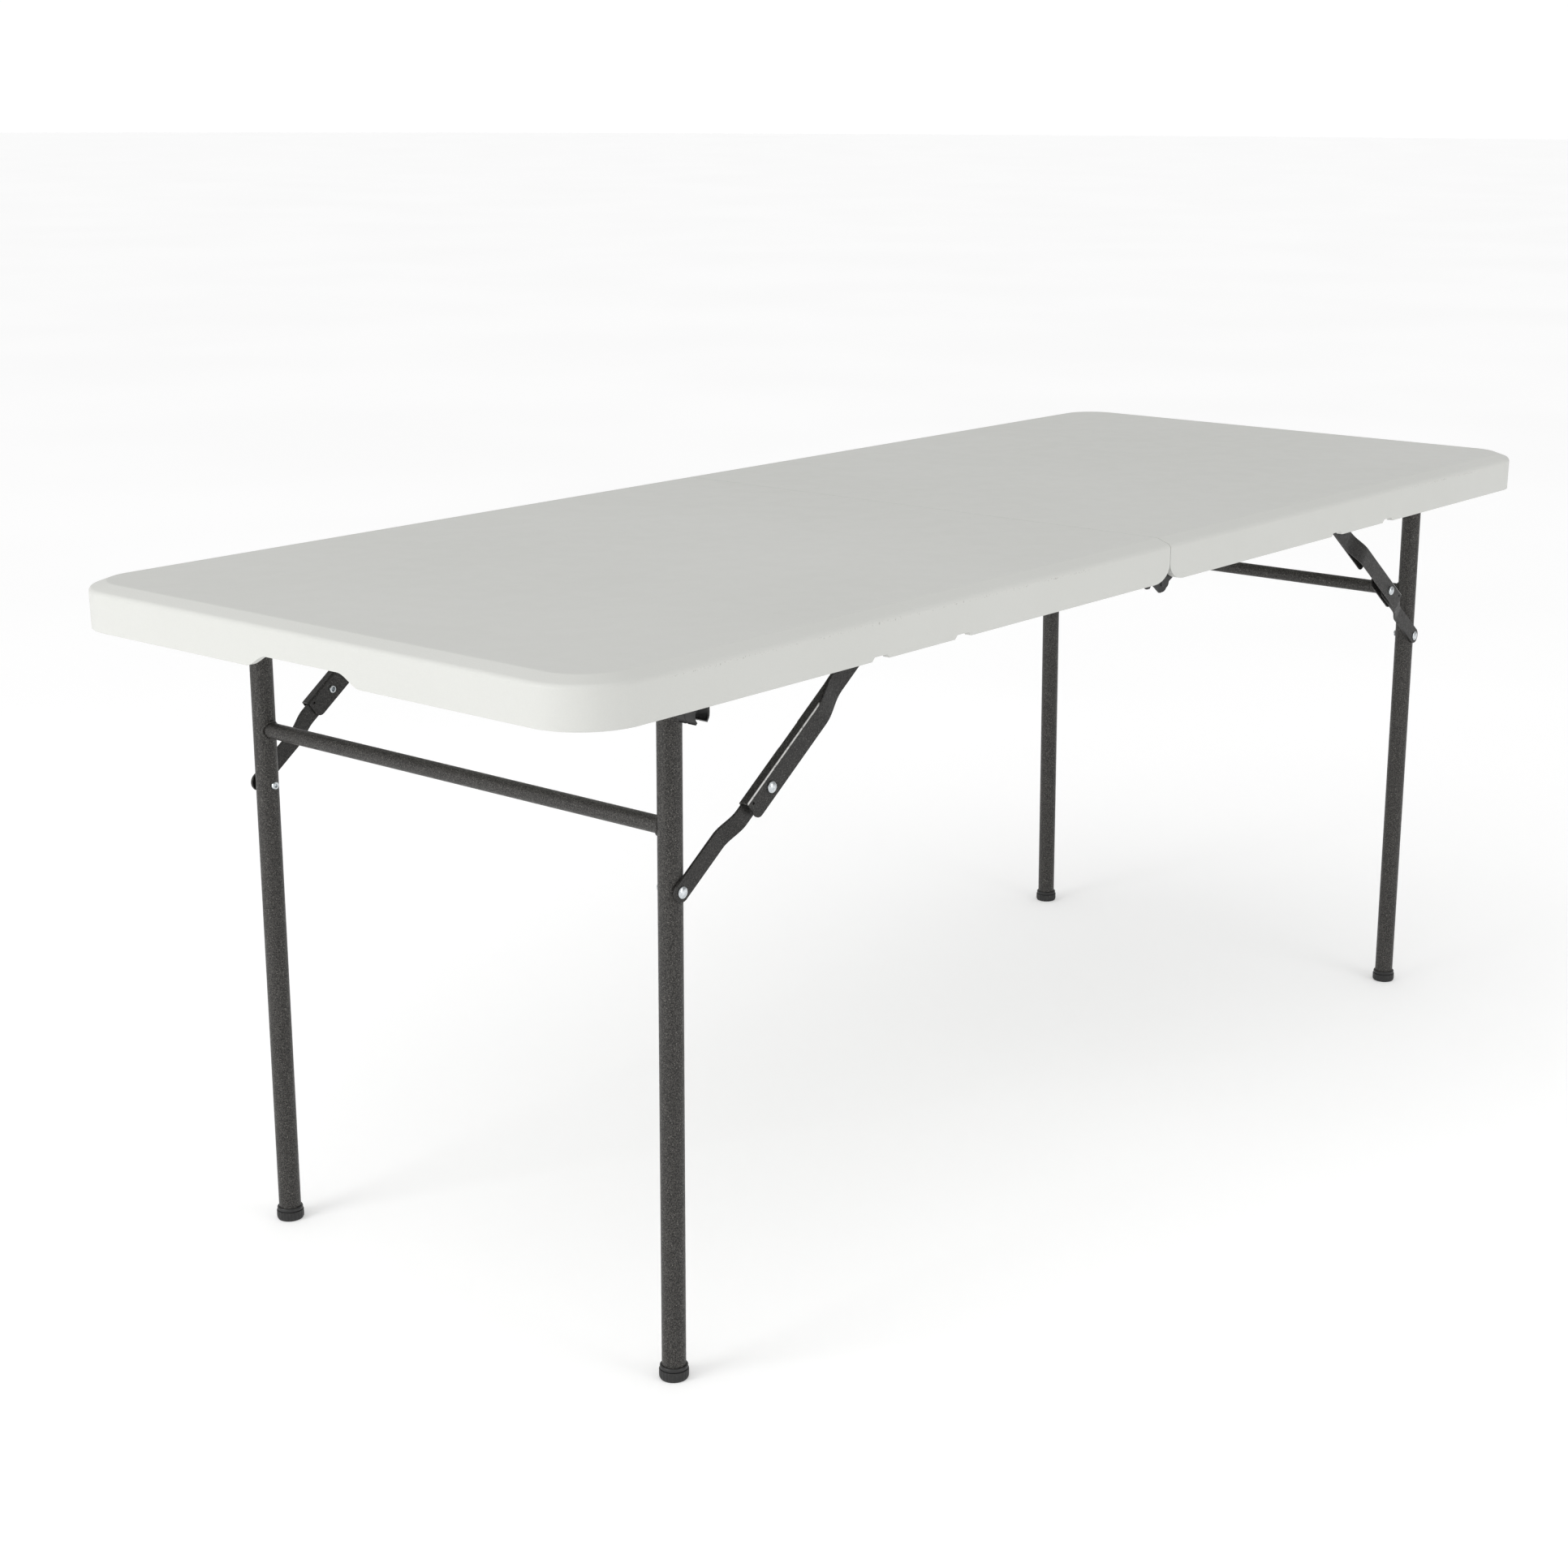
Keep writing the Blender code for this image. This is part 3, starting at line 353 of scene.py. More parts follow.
# ---------------------------------------------------------------- mesh helpers
def turned(profile, sides, axis="Z"):
    """Spin a profile of (radius, height) points about an axis."""
    bm = bmesh.new()
    verts = [bm.verts.new((r, 0.0, h)) for r, h in profile]
    for a, b in zip(verts, verts[1:]):
        bm.edges.new((a, b))
    if profile[0][0] > 0 and profile[-1][0] > 0:
        bm.edges.new((verts[-1], verts[0]))
    geometry = bm.verts[:] + bm.edges[:]
    bmesh.ops.spin(bm, geom=geometry, cent=(0, 0, 0), axis=(0, 0, 1), angle=2 * math.pi, steps=sides)
    bmesh.ops.remove_doubles(bm, verts=bm.verts, dist=1e-6)
    if axis == "Y":
        bmesh.ops.rotate(bm, verts=bm.verts, matrix=Matrix.Rotation(-math.pi / 2, 3, "X"))
    return bm


def rod(radius, reach, sides, axis):
    return turned([(0, -reach), (radius, -reach), (radius, reach), (0, reach)], sides, axis)


def moved(bm, x=0.0, y=0.0, z=0.0):
    bmesh.ops.translate(bm, verts=bm.verts, vec=(x, y, z))
    return bm


def prism(outline, low, high, along="Y"):
    """Extrude a flat outline: (x, z) points along Y, or (y, z) points along X."""
    bm = bmesh.new()
    if along == "Y":
        points = [(a, low, b) for a, b in outline]
        step = Vector((0, high - low, 0))
    else:
        points = [(low, a, b) for a, b in outline]
        step = Vector((high - low, 0, 0))
    face = bm.faces.new([bm.verts.new(p) for p in points])
    extruded = bmesh.ops.extrude_face_region(bm, geom=[face])
    top = [g for g in extruded["geom"] if isinstance(g, bmesh.types.BMVert)]
    bmesh.ops.translate(bm, verts=top, vec=step)
    return bm


def loft(sections, closed=False):
    """Join rings of points, one after the other; close both ends or the loop."""
    bm = bmesh.new()
    rings = [[bm.verts.new(p) for p in section] for section in sections]
    following = rings[1:] + ([rings[0]] if closed else [])
    for ring, next_ring in zip(rings, following):
        count = len(ring)
        for i in range(count):
            j = (i + 1) % count
            bm.faces.new((ring[i], ring[j], next_ring[j], next_ring[i]))
    if not closed:
        bm.faces.new(rings[0])
        bm.faces.new(rings[-1])
    return bm


def arc(middle, radius, start, end, steps):
    """Points on a circular arc, angles in degrees."""
    points = []
    for i in range(steps + 1):
        angle = math.radians(start + (end - start) * i / steps)
        points.append((middle[0] + radius * math.cos(angle), middle[1] + radius * math.sin(angle)))
    return points


def joined(meshes):
    """Put several separate bodies in one bmesh."""
    whole = bmesh.new()
    for bm in meshes:
        bmesh.ops.recalc_face_normals(bm, faces=bm.faces)
        part = bpy.data.meshes.new("part")
        bm.to_mesh(part)
        bm.free()
        whole.from_mesh(part)
        bpy.data.meshes.remove(part)
    return whole


def as_object(name, bm):
    """Mesh object at the origin, with its faces turned outwards."""
    bmesh.ops.recalc_face_normals(bm, faces=bm.faces)
    mesh = bpy.data.meshes.new(name)
    bm.to_mesh(mesh)
    bm.free()
    obj = bpy.data.objects.new(name, mesh)
    bpy.context.scene.collection.objects.link(obj)
    return obj


def put(obj, matrix, side=1):
    """Mirror the object's mesh to its side and move it from the local frame to its place."""
    if side < 0:
        obj.data.transform(Matrix.Scale(-1, 4, (0, 1, 0)))
        obj.data.flip_normals()
    obj.data.transform(matrix)


def settle(obj):
    """Turn the object's modifiers into plain mesh."""
    graph = bpy.context.evaluated_depsgraph_get()
    obj.data = bpy.data.meshes.new_from_object(obj.evaluated_get(graph))
    obj.modifiers.clear()


def carve(obj, cutter):
    """Take the cutter object away from the object, then delete the cutter."""
    modifier = obj.modifiers.new("cut", "BOOLEAN")
    modifier.operation = "DIFFERENCE"
    modifier.solver = "EXACT"
    modifier.object = cutter
    settle(obj)
    bpy.data.objects.remove(cutter)


def soften(obj, width, segments=2, angle=35):
    """Round the sharp edges and keep the flats flat."""
    bevel = obj.modifiers.new("rounding", "BEVEL")
    bevel.width = width
    bevel.segments = segments
    bevel.limit_method = "ANGLE"
    bevel.angle_limit = math.radians(angle)
    weighted = obj.modifiers.new("shading", "WEIGHTED_NORMAL")
    weighted.keep_sharp = True


def shade(obj, material, smooth):
    obj.data.materials.clear()
    obj.data.materials.append(material)
    obj.data.shade_smooth()
    if smooth is not None:
        obj.data.set_sharp_from_angle(angle=math.radians(smooth))


def hang(obj, body, stands_for=()):
    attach(obj, body)
    if stands_for:
        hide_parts(*stands_for)


class Place:
    """Where a piece goes: its name's ending, its side, its matrix and the body that it rides on."""

    def __init__(self, ending, matrix, body, side=1):
        self.ending = ending
        self.matrix = matrix
        self.body = body
        self.side = side


def piece(kind, bm, material, place, cutters=(), rounding=0.0, smooth=35, replaces=True, wear_and_highlight=None):
    """A finished piece that stands for the CAD node of the same kind and place."""
    node = f"{kind}_{place.ending}"
    obj = as_object("fine_" + node, bm)
    for cutter in cutters:
        carve(obj, as_object("cutter", cutter))
    if wear_and_highlight:
        # per-point mask for the worn bend and its painted highlight
        worn = obj.data.attributes.new("worn_and_highlit_bend", "FLOAT", "POINT")
        worn.data.foreach_set("value", [wear_and_highlight(vert.co) for vert in obj.data.vertices])
    put(obj, place.matrix, place.side)
    shade(obj, material, None if rounding else smooth)
    if rounding:
        soften(obj, rounding)
    hang(obj, place.body, (node,) if replaces else ())
    return obj


def fine_copy(node, material, rounding, segments=2):
    """The CAD node's own shape with its edges rounded."""
    bm = bmesh.new()
    bm.from_mesh(frame["nodes"][node].data)
    bmesh.ops.remove_doubles(bm, verts=bm.verts, dist=1e-5)
    bmesh.ops.dissolve_limit(bm, angle_limit=math.radians(1), verts=bm.verts, edges=bm.edges)
    obj = as_object("fine_" + node, bm)
    shade(obj, material, None)
    soften(obj, rounding, segments)
    body = next(name for name, nodes in BODIES.items() if node in nodes)
    hang(obj, body, (node,))
    return obj


# ---------------------------------------------------------------- moulded top
def top_ring(inset, z, fold_x):
    """One outline of a half, set in from its edge on three sides."""
    steps = 26
    radius = CORNER_RADIUS - inset
    middle_x = END_X - CORNER_RADIUS
    middle_y = HALF_WIDTH - CORNER_RADIUS
    near = arc((middle_x, -middle_y), radius, -90, 0, steps)
    far = arc((middle_x, middle_y), radius, 0, 90, steps)
    outline = [(fold_x, -(HALF_WIDTH - inset))] + near + far + [(fold_x, HALF_WIDTH - inset)]
    return [(x, y, z) for x, y in outline]


def top_body():
    """Closed shell of a half: plateau, sloping border, rounded edge, skirt and hollow underside."""
    rings = [top_ring(BORDER_WIDTH + CREASE, HEIGHT, SEAM_X)]
    rings.append(top_ring(BORDER_WIDTH + CREASE / 3, HEIGHT - BORDER_SLOPE * CREASE / 9, SEAM_X))
    rings.append(top_ring(BORDER_WIDTH - CREASE / 3, HEIGHT - BORDER_SLOPE * CREASE * 4 / 9, SEAM_X))
    rings.append(top_ring(BORDER_WIDTH - CREASE, HEIGHT - BORDER_SLOPE * CREASE, SEAM_X))
    start = math.atan(BORDER_SLOPE)
    steps = 9
    edge_inset = EDGE_RADIUS * (1 - math.sin(start))
    edge_z = HEIGHT - BORDER_SLOPE * (BORDER_WIDTH - edge_inset)
    middle_z = edge_z - EDGE_RADIUS * math.cos(start)
    for i in range(steps + 1):
        angle = start + (math.pi / 2 - start) * i / steps
        inset = EDGE_RADIUS * (1 - math.sin(angle))
        rings.append(top_ring(inset, middle_z + EDGE_RADIUS * math.cos(angle), SEAM_X))
    rings.append(top_ring(0, SKIRT_BOTTOM_Z, SEAM_X))
    rings.append(top_ring(SKIRT_WALL, SKIRT_BOTTOM_Z, FOLD_WALL))
    rings.append(top_ring(SKIRT_WALL, PANEL_UNDERSIDE_Z, FOLD_WALL))
    return loft(rings)


def fold_corner_cutter():
    """Rounds the skirt's lower corner where the two halves meet."""
    reach = 0.002
    length, height = FOLD_CORNER
    points = [(-reach, SKIRT_BOTTOM_Z - reach), (length, SKIRT_BOTTOM_Z - reach)]
    steps = 16
    for i in range(steps + 1):
        angle = math.pi / 2 * i / steps
        x = SEAM_X + length * (1 - math.sin(angle))
        points.append((x, SKIRT_BOTTOM_Z + height * (1 - math.cos(angle))))
    points.append((-reach, SKIRT_BOTTOM_Z + height))
    return prism(points, -2 * HALF_WIDTH, 2 * HALF_WIDTH)


def hinge_pockets():
    reach = 0.001
    pockets = []
    for side in (-1, 1):
        low, high = sorted((side * (RAIL_INNER_OUT - 0.004), side * (HALF_WIDTH - SKIRT_WALL)))
        outline = [(low, SKIRT_BOTTOM_Z - reach), (high, SKIRT_BOTTOM_Z - reach)]
        outline += [(high, PANEL_UNDERSIDE_Z - reach), (low, PANEL_UNDERSIDE_Z - reach)]
        pockets.append(prism(outline, -reach, FOLD_WALL + reach, along="X"))
    return joined(pockets)


def hand_recess_cutter():
    steps = 14
    reach = 0.004
    base = SKIRT_BOTTOM_Z - GAP
    rise = []
    for i in range(steps + 1):
        t = i / steps
        y = -(HAND_RECESS_HALF + HAND_RECESS_RUNOUT * (1 - t))
        rise.append((y, base + HAND_RECESS_RISE * (0.5 - 0.5 * math.cos(math.pi * t))))
    fall = [(-y, z) for y, z in reversed(rise)]
    end_y = HAND_RECESS_HALF + HAND_RECESS_RUNOUT
    outline = [(-end_y, base - reach)] + rise + fall + [(end_y, base - reach)]
    return prism(outline, END_X - SKIRT_WALL - reach, END_X + reach, along="X")


def rim_notches():
    cutters = []
    reach = 0.002
    half = RIM_NOTCH_WIDTH / 2
    low = SKIRT_BOTTOM_Z - reach
    high = SKIRT_BOTTOM_Z + RIM_NOTCH_DEPTH
    for x in RIM_NOTCH_X:
        outline = [(x - half, low), (x + half, low), (x + half, SKIRT_BOTTOM_Z)]
        outline += [(x + half - RIM_NOTCH_SLOPE, high), (x - half + RIM_NOTCH_SLOPE, high)]
        outline += [(x - half, SKIRT_BOTTOM_Z)]
        for side in (-1, 1):
            y_low, y_high = sorted((side * (HALF_WIDTH - SKIRT_WALL - reach), side * (HALF_WIDTH + reach)))
            cutters.append(prism(outline, y_low, y_high))
    return joined(cutters)


def dimples():
    """Rows of cone-shaped tacks in the underside, where the two walls are moulded together."""
    cutters = []
    reach = 0.001
    slope = (DIMPLE_MOUTH - DIMPLE_BOTTOM) / DIMPLE_DEPTH
    profile = [(0, -reach), (DIMPLE_MOUTH + slope * reach, -reach)]
    profile += [(DIMPLE_BOTTOM, DIMPLE_DEPTH), (0, DIMPLE_DEPTH)]
    columns = int((END_X - 0.08) / DIMPLE_PITCH)
    rows = int((2 * RAIL_INNER_OUT - 0.04) / DIMPLE_PITCH)
    for i in range(columns):
        for j in range(rows):
            x = 0.045 + DIMPLE_PITCH * i
            y = DIMPLE_PITCH * (j - (rows - 1) / 2)
            cutters.append(moved(turned(profile, 16), x, y, PANEL_UNDERSIDE_Z))
    return joined(cutters)


def build_top(end):
    cutters = [fold_corner_cutter(), hinge_pockets(), hand_recess_cutter(), rim_notches(), dimples()]
    place = Place(end, ENDS[end], f"half_{end}")
    top = piece("tabletop", top_body(), PLASTIC, place, cutters, rounding=RIM_ROUNDING)
    top.modifiers["rounding"].segments = 3


# ---------------------------------------------------------------- leg frames
def leg_tube():
    wall = 0.0012
    bottom = -LEG_LENGTH + FOOT_FLOOR + GAP
    profile = [(LEG_RADIUS - wall, -0.004), (LEG_RADIUS, -0.004)]
    profile += [(LEG_RADIUS, bottom), (LEG_RADIUS - wall, bottom)]
    return moved(turned(profile, TUBE_SIDES), y=LEG_OUT)


def cross_tube(radius, wall, half):
    profile = [(radius - wall, half), (radius, half), (radius, -half), (radius - wall, -half)]
    return turned(profile, TUBE_SIDES, "Y")


def bead(path, radius, seed):
    """A lumpy weld bead along a closed path of points."""
    count = len(path)
    sections = []
    for i, point in enumerate(path):
        forward = (path[(i + 1) % count] - path[i - 1]).normalized()
        side = forward.cross(Vector((0.31, 0.95, 0.11))).normalized()
        up = forward.cross(side)
        lump = noise.noise(Vector((i * 0.9, seed, 0.0)))
        size = radius * (1 + 0.22 * lump + 0.10 * math.sin(i * 2.1))
        ring = []
        for k in range(8):
            angle = 2 * math.pi * k / 8
            ring.append(point + (side * math.cos(angle) + up * math.sin(angle)) * size)
        sections.append(ring)
    return loft(sections, closed=True)


def crossbar_weld_path():
    steps = 56
    radius = CROSSBAR_RADIUS + 0.0006
    path = []
    for i in range(steps):
        angle = 2 * math.pi * i / steps
        x = radius * math.cos(angle)
        y = LEG_OUT - math.sqrt(LEG_RADIUS ** 2 - x ** 2) - 0.0003
        path.append(Vector((x, y, -CROSSBAR_BELOW + radius * math.sin(angle))))
    return path


def pivot_weld_path():
    steps = 64
    path = []
    for i in range(steps):
        angle = 2 * math.pi * i / steps
        x = LEG_RADIUS * math.cos(angle)
        z = -math.sqrt(max(PIVOT_TUBE_RADIUS ** 2 - x ** 2, 0.004 ** 2))
        path.append(Vector((x, LEG_OUT + LEG_RADIUS * math.sin(angle), z - 0.0004)))
    return path


def foot_cap():
    """Cap with a narrower collar and fine ribs down its body; the base lies on the floor."""
    floor = -LEG_LENGTH
    top = floor + FOOT_HEIGHT
    grip = LEG_RADIUS + GAP
    inside = floor + FOOT_FLOOR
    below = 0.001
    profile = [(0, floor - below), (FOOT_RADIUS - 0.0014, floor - below)]
    profile += [(FOOT_RADIUS - 0.0009, floor + 0.0004), (FOOT_RADIUS - 0.0004, floor + 0.0012)]
    profile += [(FOOT_RADIUS - 0.0001, floor + 0.0022), (FOOT_RADIUS, floor + 0.0035)]
    profile += [(FOOT_RADIUS, top - 0.0050), (FOOT_RADIUS - 0.0003, top - 0.0045)]
    profile += [(FOOT_RADIUS - 0.0014, top - 0.0042), (FOOT_RADIUS - 0.0014, top - 0.0037)]
    profile += [(FOOT_RADIUS - 0.0008, top - 0.0033)]
    profile += [(FOOT_RADIUS - 0.0008, top - 0.0010), (FOOT_RADIUS - 0.0012, top - 0.0003)]
    profile += [(FOOT_RADIUS - 0.0017, top), (grip, top), (grip, inside), (0, inside)]
    sides = 120
    bm = turned(profile, sides)
    rib_low = floor + 0.0020
    rib_high = top - 0.0046
    for vert in bm.verts:
        radius = math.hypot(vert.co.x, vert.co.y)
        if radius > FOOT_RADIUS - 0.0008 and rib_low < vert.co.z < rib_high:
            turn = round(math.atan2(vert.co.y, vert.co.x) / (2 * math.pi / sides))
            if turn % 5 < 2:
                scale = (radius - 0.0005) / radius
                vert.co.x *= scale
                vert.co.y *= scale
    normal = Vector((math.sin(SPLAY), 0, math.cos(SPLAY)))
    geometry = bm.verts[:] + bm.edges[:] + bm.faces[:]
    bmesh.ops.bisect_plane(bm, geom=geometry, plane_co=(0, 0, floor), plane_no=normal, clear_inner=True)
    bmesh.ops.holes_fill(bm, edges=[e for e in bm.edges if e.is_boundary])
    return moved(bm, y=LEG_OUT)


# ---------------------------------------------------------------- braces
def channel_section(x, inner, outer, top, bottom):
    """U-shaped section, open below, with rounded pressed corners."""
    sheet = CHANNEL_SHEET
    bend = min(CHANNEL_BEND, (outer - inner) / 2 - 0.0001, top - bottom)
    hollow = max(bend - sheet, 0.00015)
    left = arc((inner + bend, top - bend), bend, 180, 90, 5)
    right = arc((outer - bend, top - bend), bend, 90, 0, 5)
    right_in = arc((outer - sheet - hollow, top - sheet - hollow), hollow, 0, 90, 5)
    left_in = arc((inner + sheet + hollow, top - sheet - hollow), hollow, 90, 180, 5)
    section = [(inner, bottom)] + left + right + [(outer, bottom), (outer - sheet, bottom)]
    section += right_in + left_in + [(inner + sheet, bottom)]
    return [(x, y, z) for y, z in section]


def upper_link():
    half = CHANNEL_HEIGHT / 2
    end = UPPER_LINK + CHANNEL_PAST_KNUCKLE
    stations = []
    for angle in range(80, 0, -10):
        a = math.radians(angle)
        stations.append((-half * math.sin(a), math.cos(a), 0))
    stations += [(0, 1, 0), (FLAT_END * 0.5, 1, 0), (FLAT_END, 1, 0)]
    steps = 12
    for i in range(1, steps + 1):
        t = i / steps
        x = FLAT_END + (FLAT_TO_CHANNEL - FLAT_END) * t
        stations.append((x, 1, 0.5 - 0.5 * math.cos(math.pi * t)))
    stations += [(UPPER_LINK - 0.03, 1, 1), (UPPER_LINK, 1, 1)]
    corner = 0.008
    for angle in range(0, 91, 15):
        a = math.radians(angle)
        drop = corner * (1 - math.cos(a)) / CHANNEL_HEIGHT
        stations.append((end - corner + corner * math.sin(a), 1 - 2 * drop, 1))
    sections = []
    for x, scale, spread in stations:
        outer = FLAT_OUTER_OUT + (CHANNEL_OUTER_OUT - FLAT_OUTER_OUT) * spread
        top = half * scale if x < 0 else half
        sections.append(channel_section(x, CHANNEL_INNER_OUT, outer, max(top, 0.0018), -half * scale))
    return loft(sections)


def outer_bend_wear_and_highlight(point):
    """One on the rounded outer corner of the channel, where the coat is worn through and where the bend's
    highlight is painted as a bright line.
    """
    past_flat = point.x > FLAT_END + 0.2 * (FLAT_TO_CHANNEL - FLAT_END)
    middle_out = CHANNEL_OUTER_OUT - CHANNEL_BEND
    middle_z = CHANNEL_HEIGHT / 2 - CHANNEL_BEND
    out = point.y - middle_out
    rise = point.z - middle_z
    on_bend = out > 0.0009 and rise > 0.0009 and math.hypot(out, rise) > CHANNEL_BEND - 0.0004
    return 1.0 if past_flat and on_bend else 0.0


def upper_link_cutters():
    half = CHANNEL_HEIGHT / 2
    middle = (CHANNEL_INNER_OUT + CHANNEL_OUTER_OUT) / 2
    hole = RIVET_SHANK + GAP
    start = UPPER_LINK - NOTCH_FROM_KNUCKLE[1]
    stop = UPPER_LINK - NOTCH_FROM_KNUCKLE[0]
    top = half + 0.002
    lobe = 0.009
    reach = 0.010
    outline = [(start - lobe, -half - 0.002), (stop + lobe, -half - 0.002)]
    curve = []
    for degrees in range(12, 91, 13):
        angle = math.radians(degrees)
        curve.append((lobe * (1 - math.sin(angle)), -half + lobe * (1 - math.cos(angle)) - 0.0004))
    outline += [(stop + x, z) for x, z in curve]
    outline += [(stop, top), (start, top)]
    outline += [(start - x, z) for x, z in reversed(curve)]
    notch = prism(outline, CHANNEL_INNER_OUT - 0.001, CHANNEL_INNER_OUT + CHANNEL_SHEET + 0.0002)
    pivot_hole = moved(rod(hole, reach, HOLE_SIDES, "Y"), 0, CHANNEL_INNER_OUT)
    knuckle_hole = moved(rod(hole, reach, HOLE_SIDES, "Y"), UPPER_LINK, middle)
    dimple_x = UPPER_LINK + CHANNEL_PAST_KNUCKLE - 0.006
    dimple = moved(rod(0.0014, reach, 20, "Y"), dimple_x, middle, half - 0.0055)
    return [notch, pivot_hole, knuckle_hole, dimple]


def lower_link():
    """Flat bar from the knuckle to the leg, with a joggle towards the leg."""
    half = LINK_WIDTH / 2
    round_end = [(math.sin(math.radians(a)), math.cos(math.radians(a))) for a in range(80, -1, -10)]
    stations = [(-half * back, scale, 1.0) for back, scale in round_end]
    steps = 18
    start, stop = JOGGLE_FROM_KNUCKLE
    for i in range(steps + 1):
        t = i / steps
        stations.append((start + (stop - start) * t, 1.0, 0.5 + 0.5 * math.cos(math.pi * t)))
    stations += [(LOWER_LINK + half * back, scale, 0.0) for back, scale in reversed(round_end)]
    sections = []
    for x, scale, layer in stations:
        inner = LOW_LAYER_OUT + (HIGH_LAYER_OUT - LOW_LAYER_OUT) * layer
        outer = inner + LINK_THICKNESS
        top = half * scale
        sections.append([(x, inner, -top), (x, inner, top), (x, outer, top), (x, outer, -top)])
    return loft(sections)


def lower_link_cutters():
    hole = RIVET_SHANK + GAP
    reach = 0.008
    knuckle_hole = moved(rod(hole, reach, HOLE_SIDES, "Y"), 0, HIGH_LAYER_OUT)
    leg_hole = moved(rod(hole, reach, HOLE_SIDES, "Y"), LOWER_LINK, LOW_LAYER_OUT)
    return [knuckle_hole, leg_hole]


# ---------------------------------------------------------------- rivets
def dome(radius, base, height):
    """Points of a domed head from its rim to its top on the axis."""
    points = []
    steps = 10
    for i in range(steps):
        angle = math.pi / 2 * i / steps
        points.append((radius * math.cos(angle), base + height * math.sin(angle)))
    return points + [(0, base + height)]


def rivet(profile, x, z=0.0):
    return moved(turned(profile, RIVET_SIDES, "Y"), x, 0, z)


def knuckle_rivet():
    inner = CHANNEL_INNER_OUT - GAP
    outer = CHANNEL_OUTER_OUT + GAP
    profile = [(0, inner + 0.0024), (0.0022, inner + 0.0024), (0.0025, inner - 0.0012)]
    profile += [(0.0028, inner - 0.0018), (0.0034, inner - 0.0018), (0.0039, inner - 0.0014)]
    profile += [(0.0042, inner - 0.0006), (0.0042, inner), (RIVET_SHANK, inner), (RIVET_SHANK, outer)]
    profile += [(RIVET_HEAD, outer)] + dome(RIVET_HEAD, outer + 0.0005, 0.003)
    return rivet(profile, UPPER_LINK)


def leg_rivet_head():
    base = LOW_LAYER_OUT + LINK_THICKNESS + GAP
    inner = LOW_LAYER_OUT + GAP
    profile = [(0, inner), (RIVET_SHANK, inner), (RIVET_SHANK, base)]
    profile += [(RIVET_HEAD, base)] + dome(RIVET_HEAD, base + 0.0003, 0.0020)
    return rivet(profile, LOWER_LINK)


def leg_rivet_tail():
    face = LEG_OUT - LEG_RADIUS - GAP
    profile = [(0, face - 0.0003), (0.0017, face - 0.0003), (0.0020, face - 0.0019)]
    profile += [(0.0024, face - 0.0022), (0.0033, face - 0.0022), (0.0038, face - 0.0018)]
    profile += [(0.0043, face - 0.0008), (0.0043, face), (0, face)]
    return rivet(profile, 0, -LEG_RIVET_BELOW)


def brace_pivot_rivet():
    low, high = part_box("brace_pivot_rivet_right_far")
    profile = [(0, low.y), (0.0048, low.y), (0.0056, low.y + 0.0004), (0.0060, low.y + 0.0010)]
    profile += [(0.0060, low.y + 0.0020), (RIVET_SHANK, low.y + 0.0020), (RIVET_SHANK, high.y - 0.0015)]
    profile += [(0.0050, high.y - 0.0015), (0.0050, high.y - 0.0004), (0.0045, high.y), (0, high.y)]
    return rivet(profile, UPPER_PIVOT.x, UPPER_PIVOT.z)


def hinge_pin(place):
    low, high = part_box(f"fold_hinge_pin_{place}")
    inner, outer = sorted((abs(low.y), abs(high.y)))
    z = centre(f"fold_hinge_pin_{place}").z
    profile = [(0, inner), (0.0058, inner), (0.0065, inner + 0.0006), (0.0065, inner + 0.0020)]
    profile += [(0.004, inner + 0.0020), (0.004, outer - 0.0005), (0.0034, outer), (0, outer)]
    side = -1 if place == "near" else 1
    where = Place(place, Matrix.Identity(4), "half_left", side)
    piece("fold_hinge_pin", rivet(profile, 0, z), DARK_ZINC, where)


# ---------------------------------------------------------------- assembly
def side_name(end, side):
    """Near is the world's -Y side; the left end is turned half a turn."""
    out_y = side if end == "right" else -side
    return "near" if out_y < 0 else "far"


def build_side(end, side, matrices):
    base, pivot, upper, knuckle = matrices
    ending = f"{end}_{side_name(end, side)}"
    on_half = Place(ending, base, f"half_{end}", side)
    on_leg = Place(ending, pivot, f"leg_frame_{end}", side)
    on_upper = Place(ending, upper, f"upper_link_{ending}", side)
    on_lower = Place(ending, knuckle, f"lower_link_{ending}", side)
    saddle = moved(rod(PIVOT_TUBE_RADIUS + GAP, 2 * LEG_RADIUS, TUBE_SIDES, "Y"), y=LEG_OUT)
    piece("leg_tube", leg_tube(), STEEL, on_leg, [saddle])
    piece("foot_cap", foot_cap(), BLACK, on_leg, smooth=28)
    seed = len(ending) + side
    weld = bead(crossbar_weld_path(), CROSSBAR_BEAD, seed)
    piece("crossbar_weld", weld, STEEL, on_leg, smooth=None, replaces=False)
    weld = bead(pivot_weld_path(), PIVOT_BEAD, seed + 5)
    piece("pivot_weld", weld, STEEL, on_leg, smooth=None, replaces=False)
    piece(
        "upper_link", upper_link(), SHADED_LINK_STEEL, on_upper, upper_link_cutters(), rounding=0.0003,
        wear_and_highlight=outer_bend_wear_and_highlight,
    )
    piece("lower_link", lower_link(), SHADED_LINK_STEEL, on_lower, lower_link_cutters(), rounding=0.0005)
    piece("knuckle_rivet", knuckle_rivet(), ZINC, on_upper)
    piece("leg_rivet_head", leg_rivet_head(), ZINC, on_lower)
    piece("leg_rivet_tail", leg_rivet_tail(), ZINC, on_leg)
    piece("brace_pivot_rivet", brace_pivot_rivet(), ZINC, on_half)
    fine_copy(f"side_rail_{ending}", STEEL, 0.0006)
    fine_copy(f"pivot_bracket_{ending}", STEEL, 0.0005)
    fine_copy(f"brace_bracket_{ending}", STEEL, 0.0006)
    if end == "left":
        fine_copy(f"closing_clip_{ending}", BLACK, 0.0003)


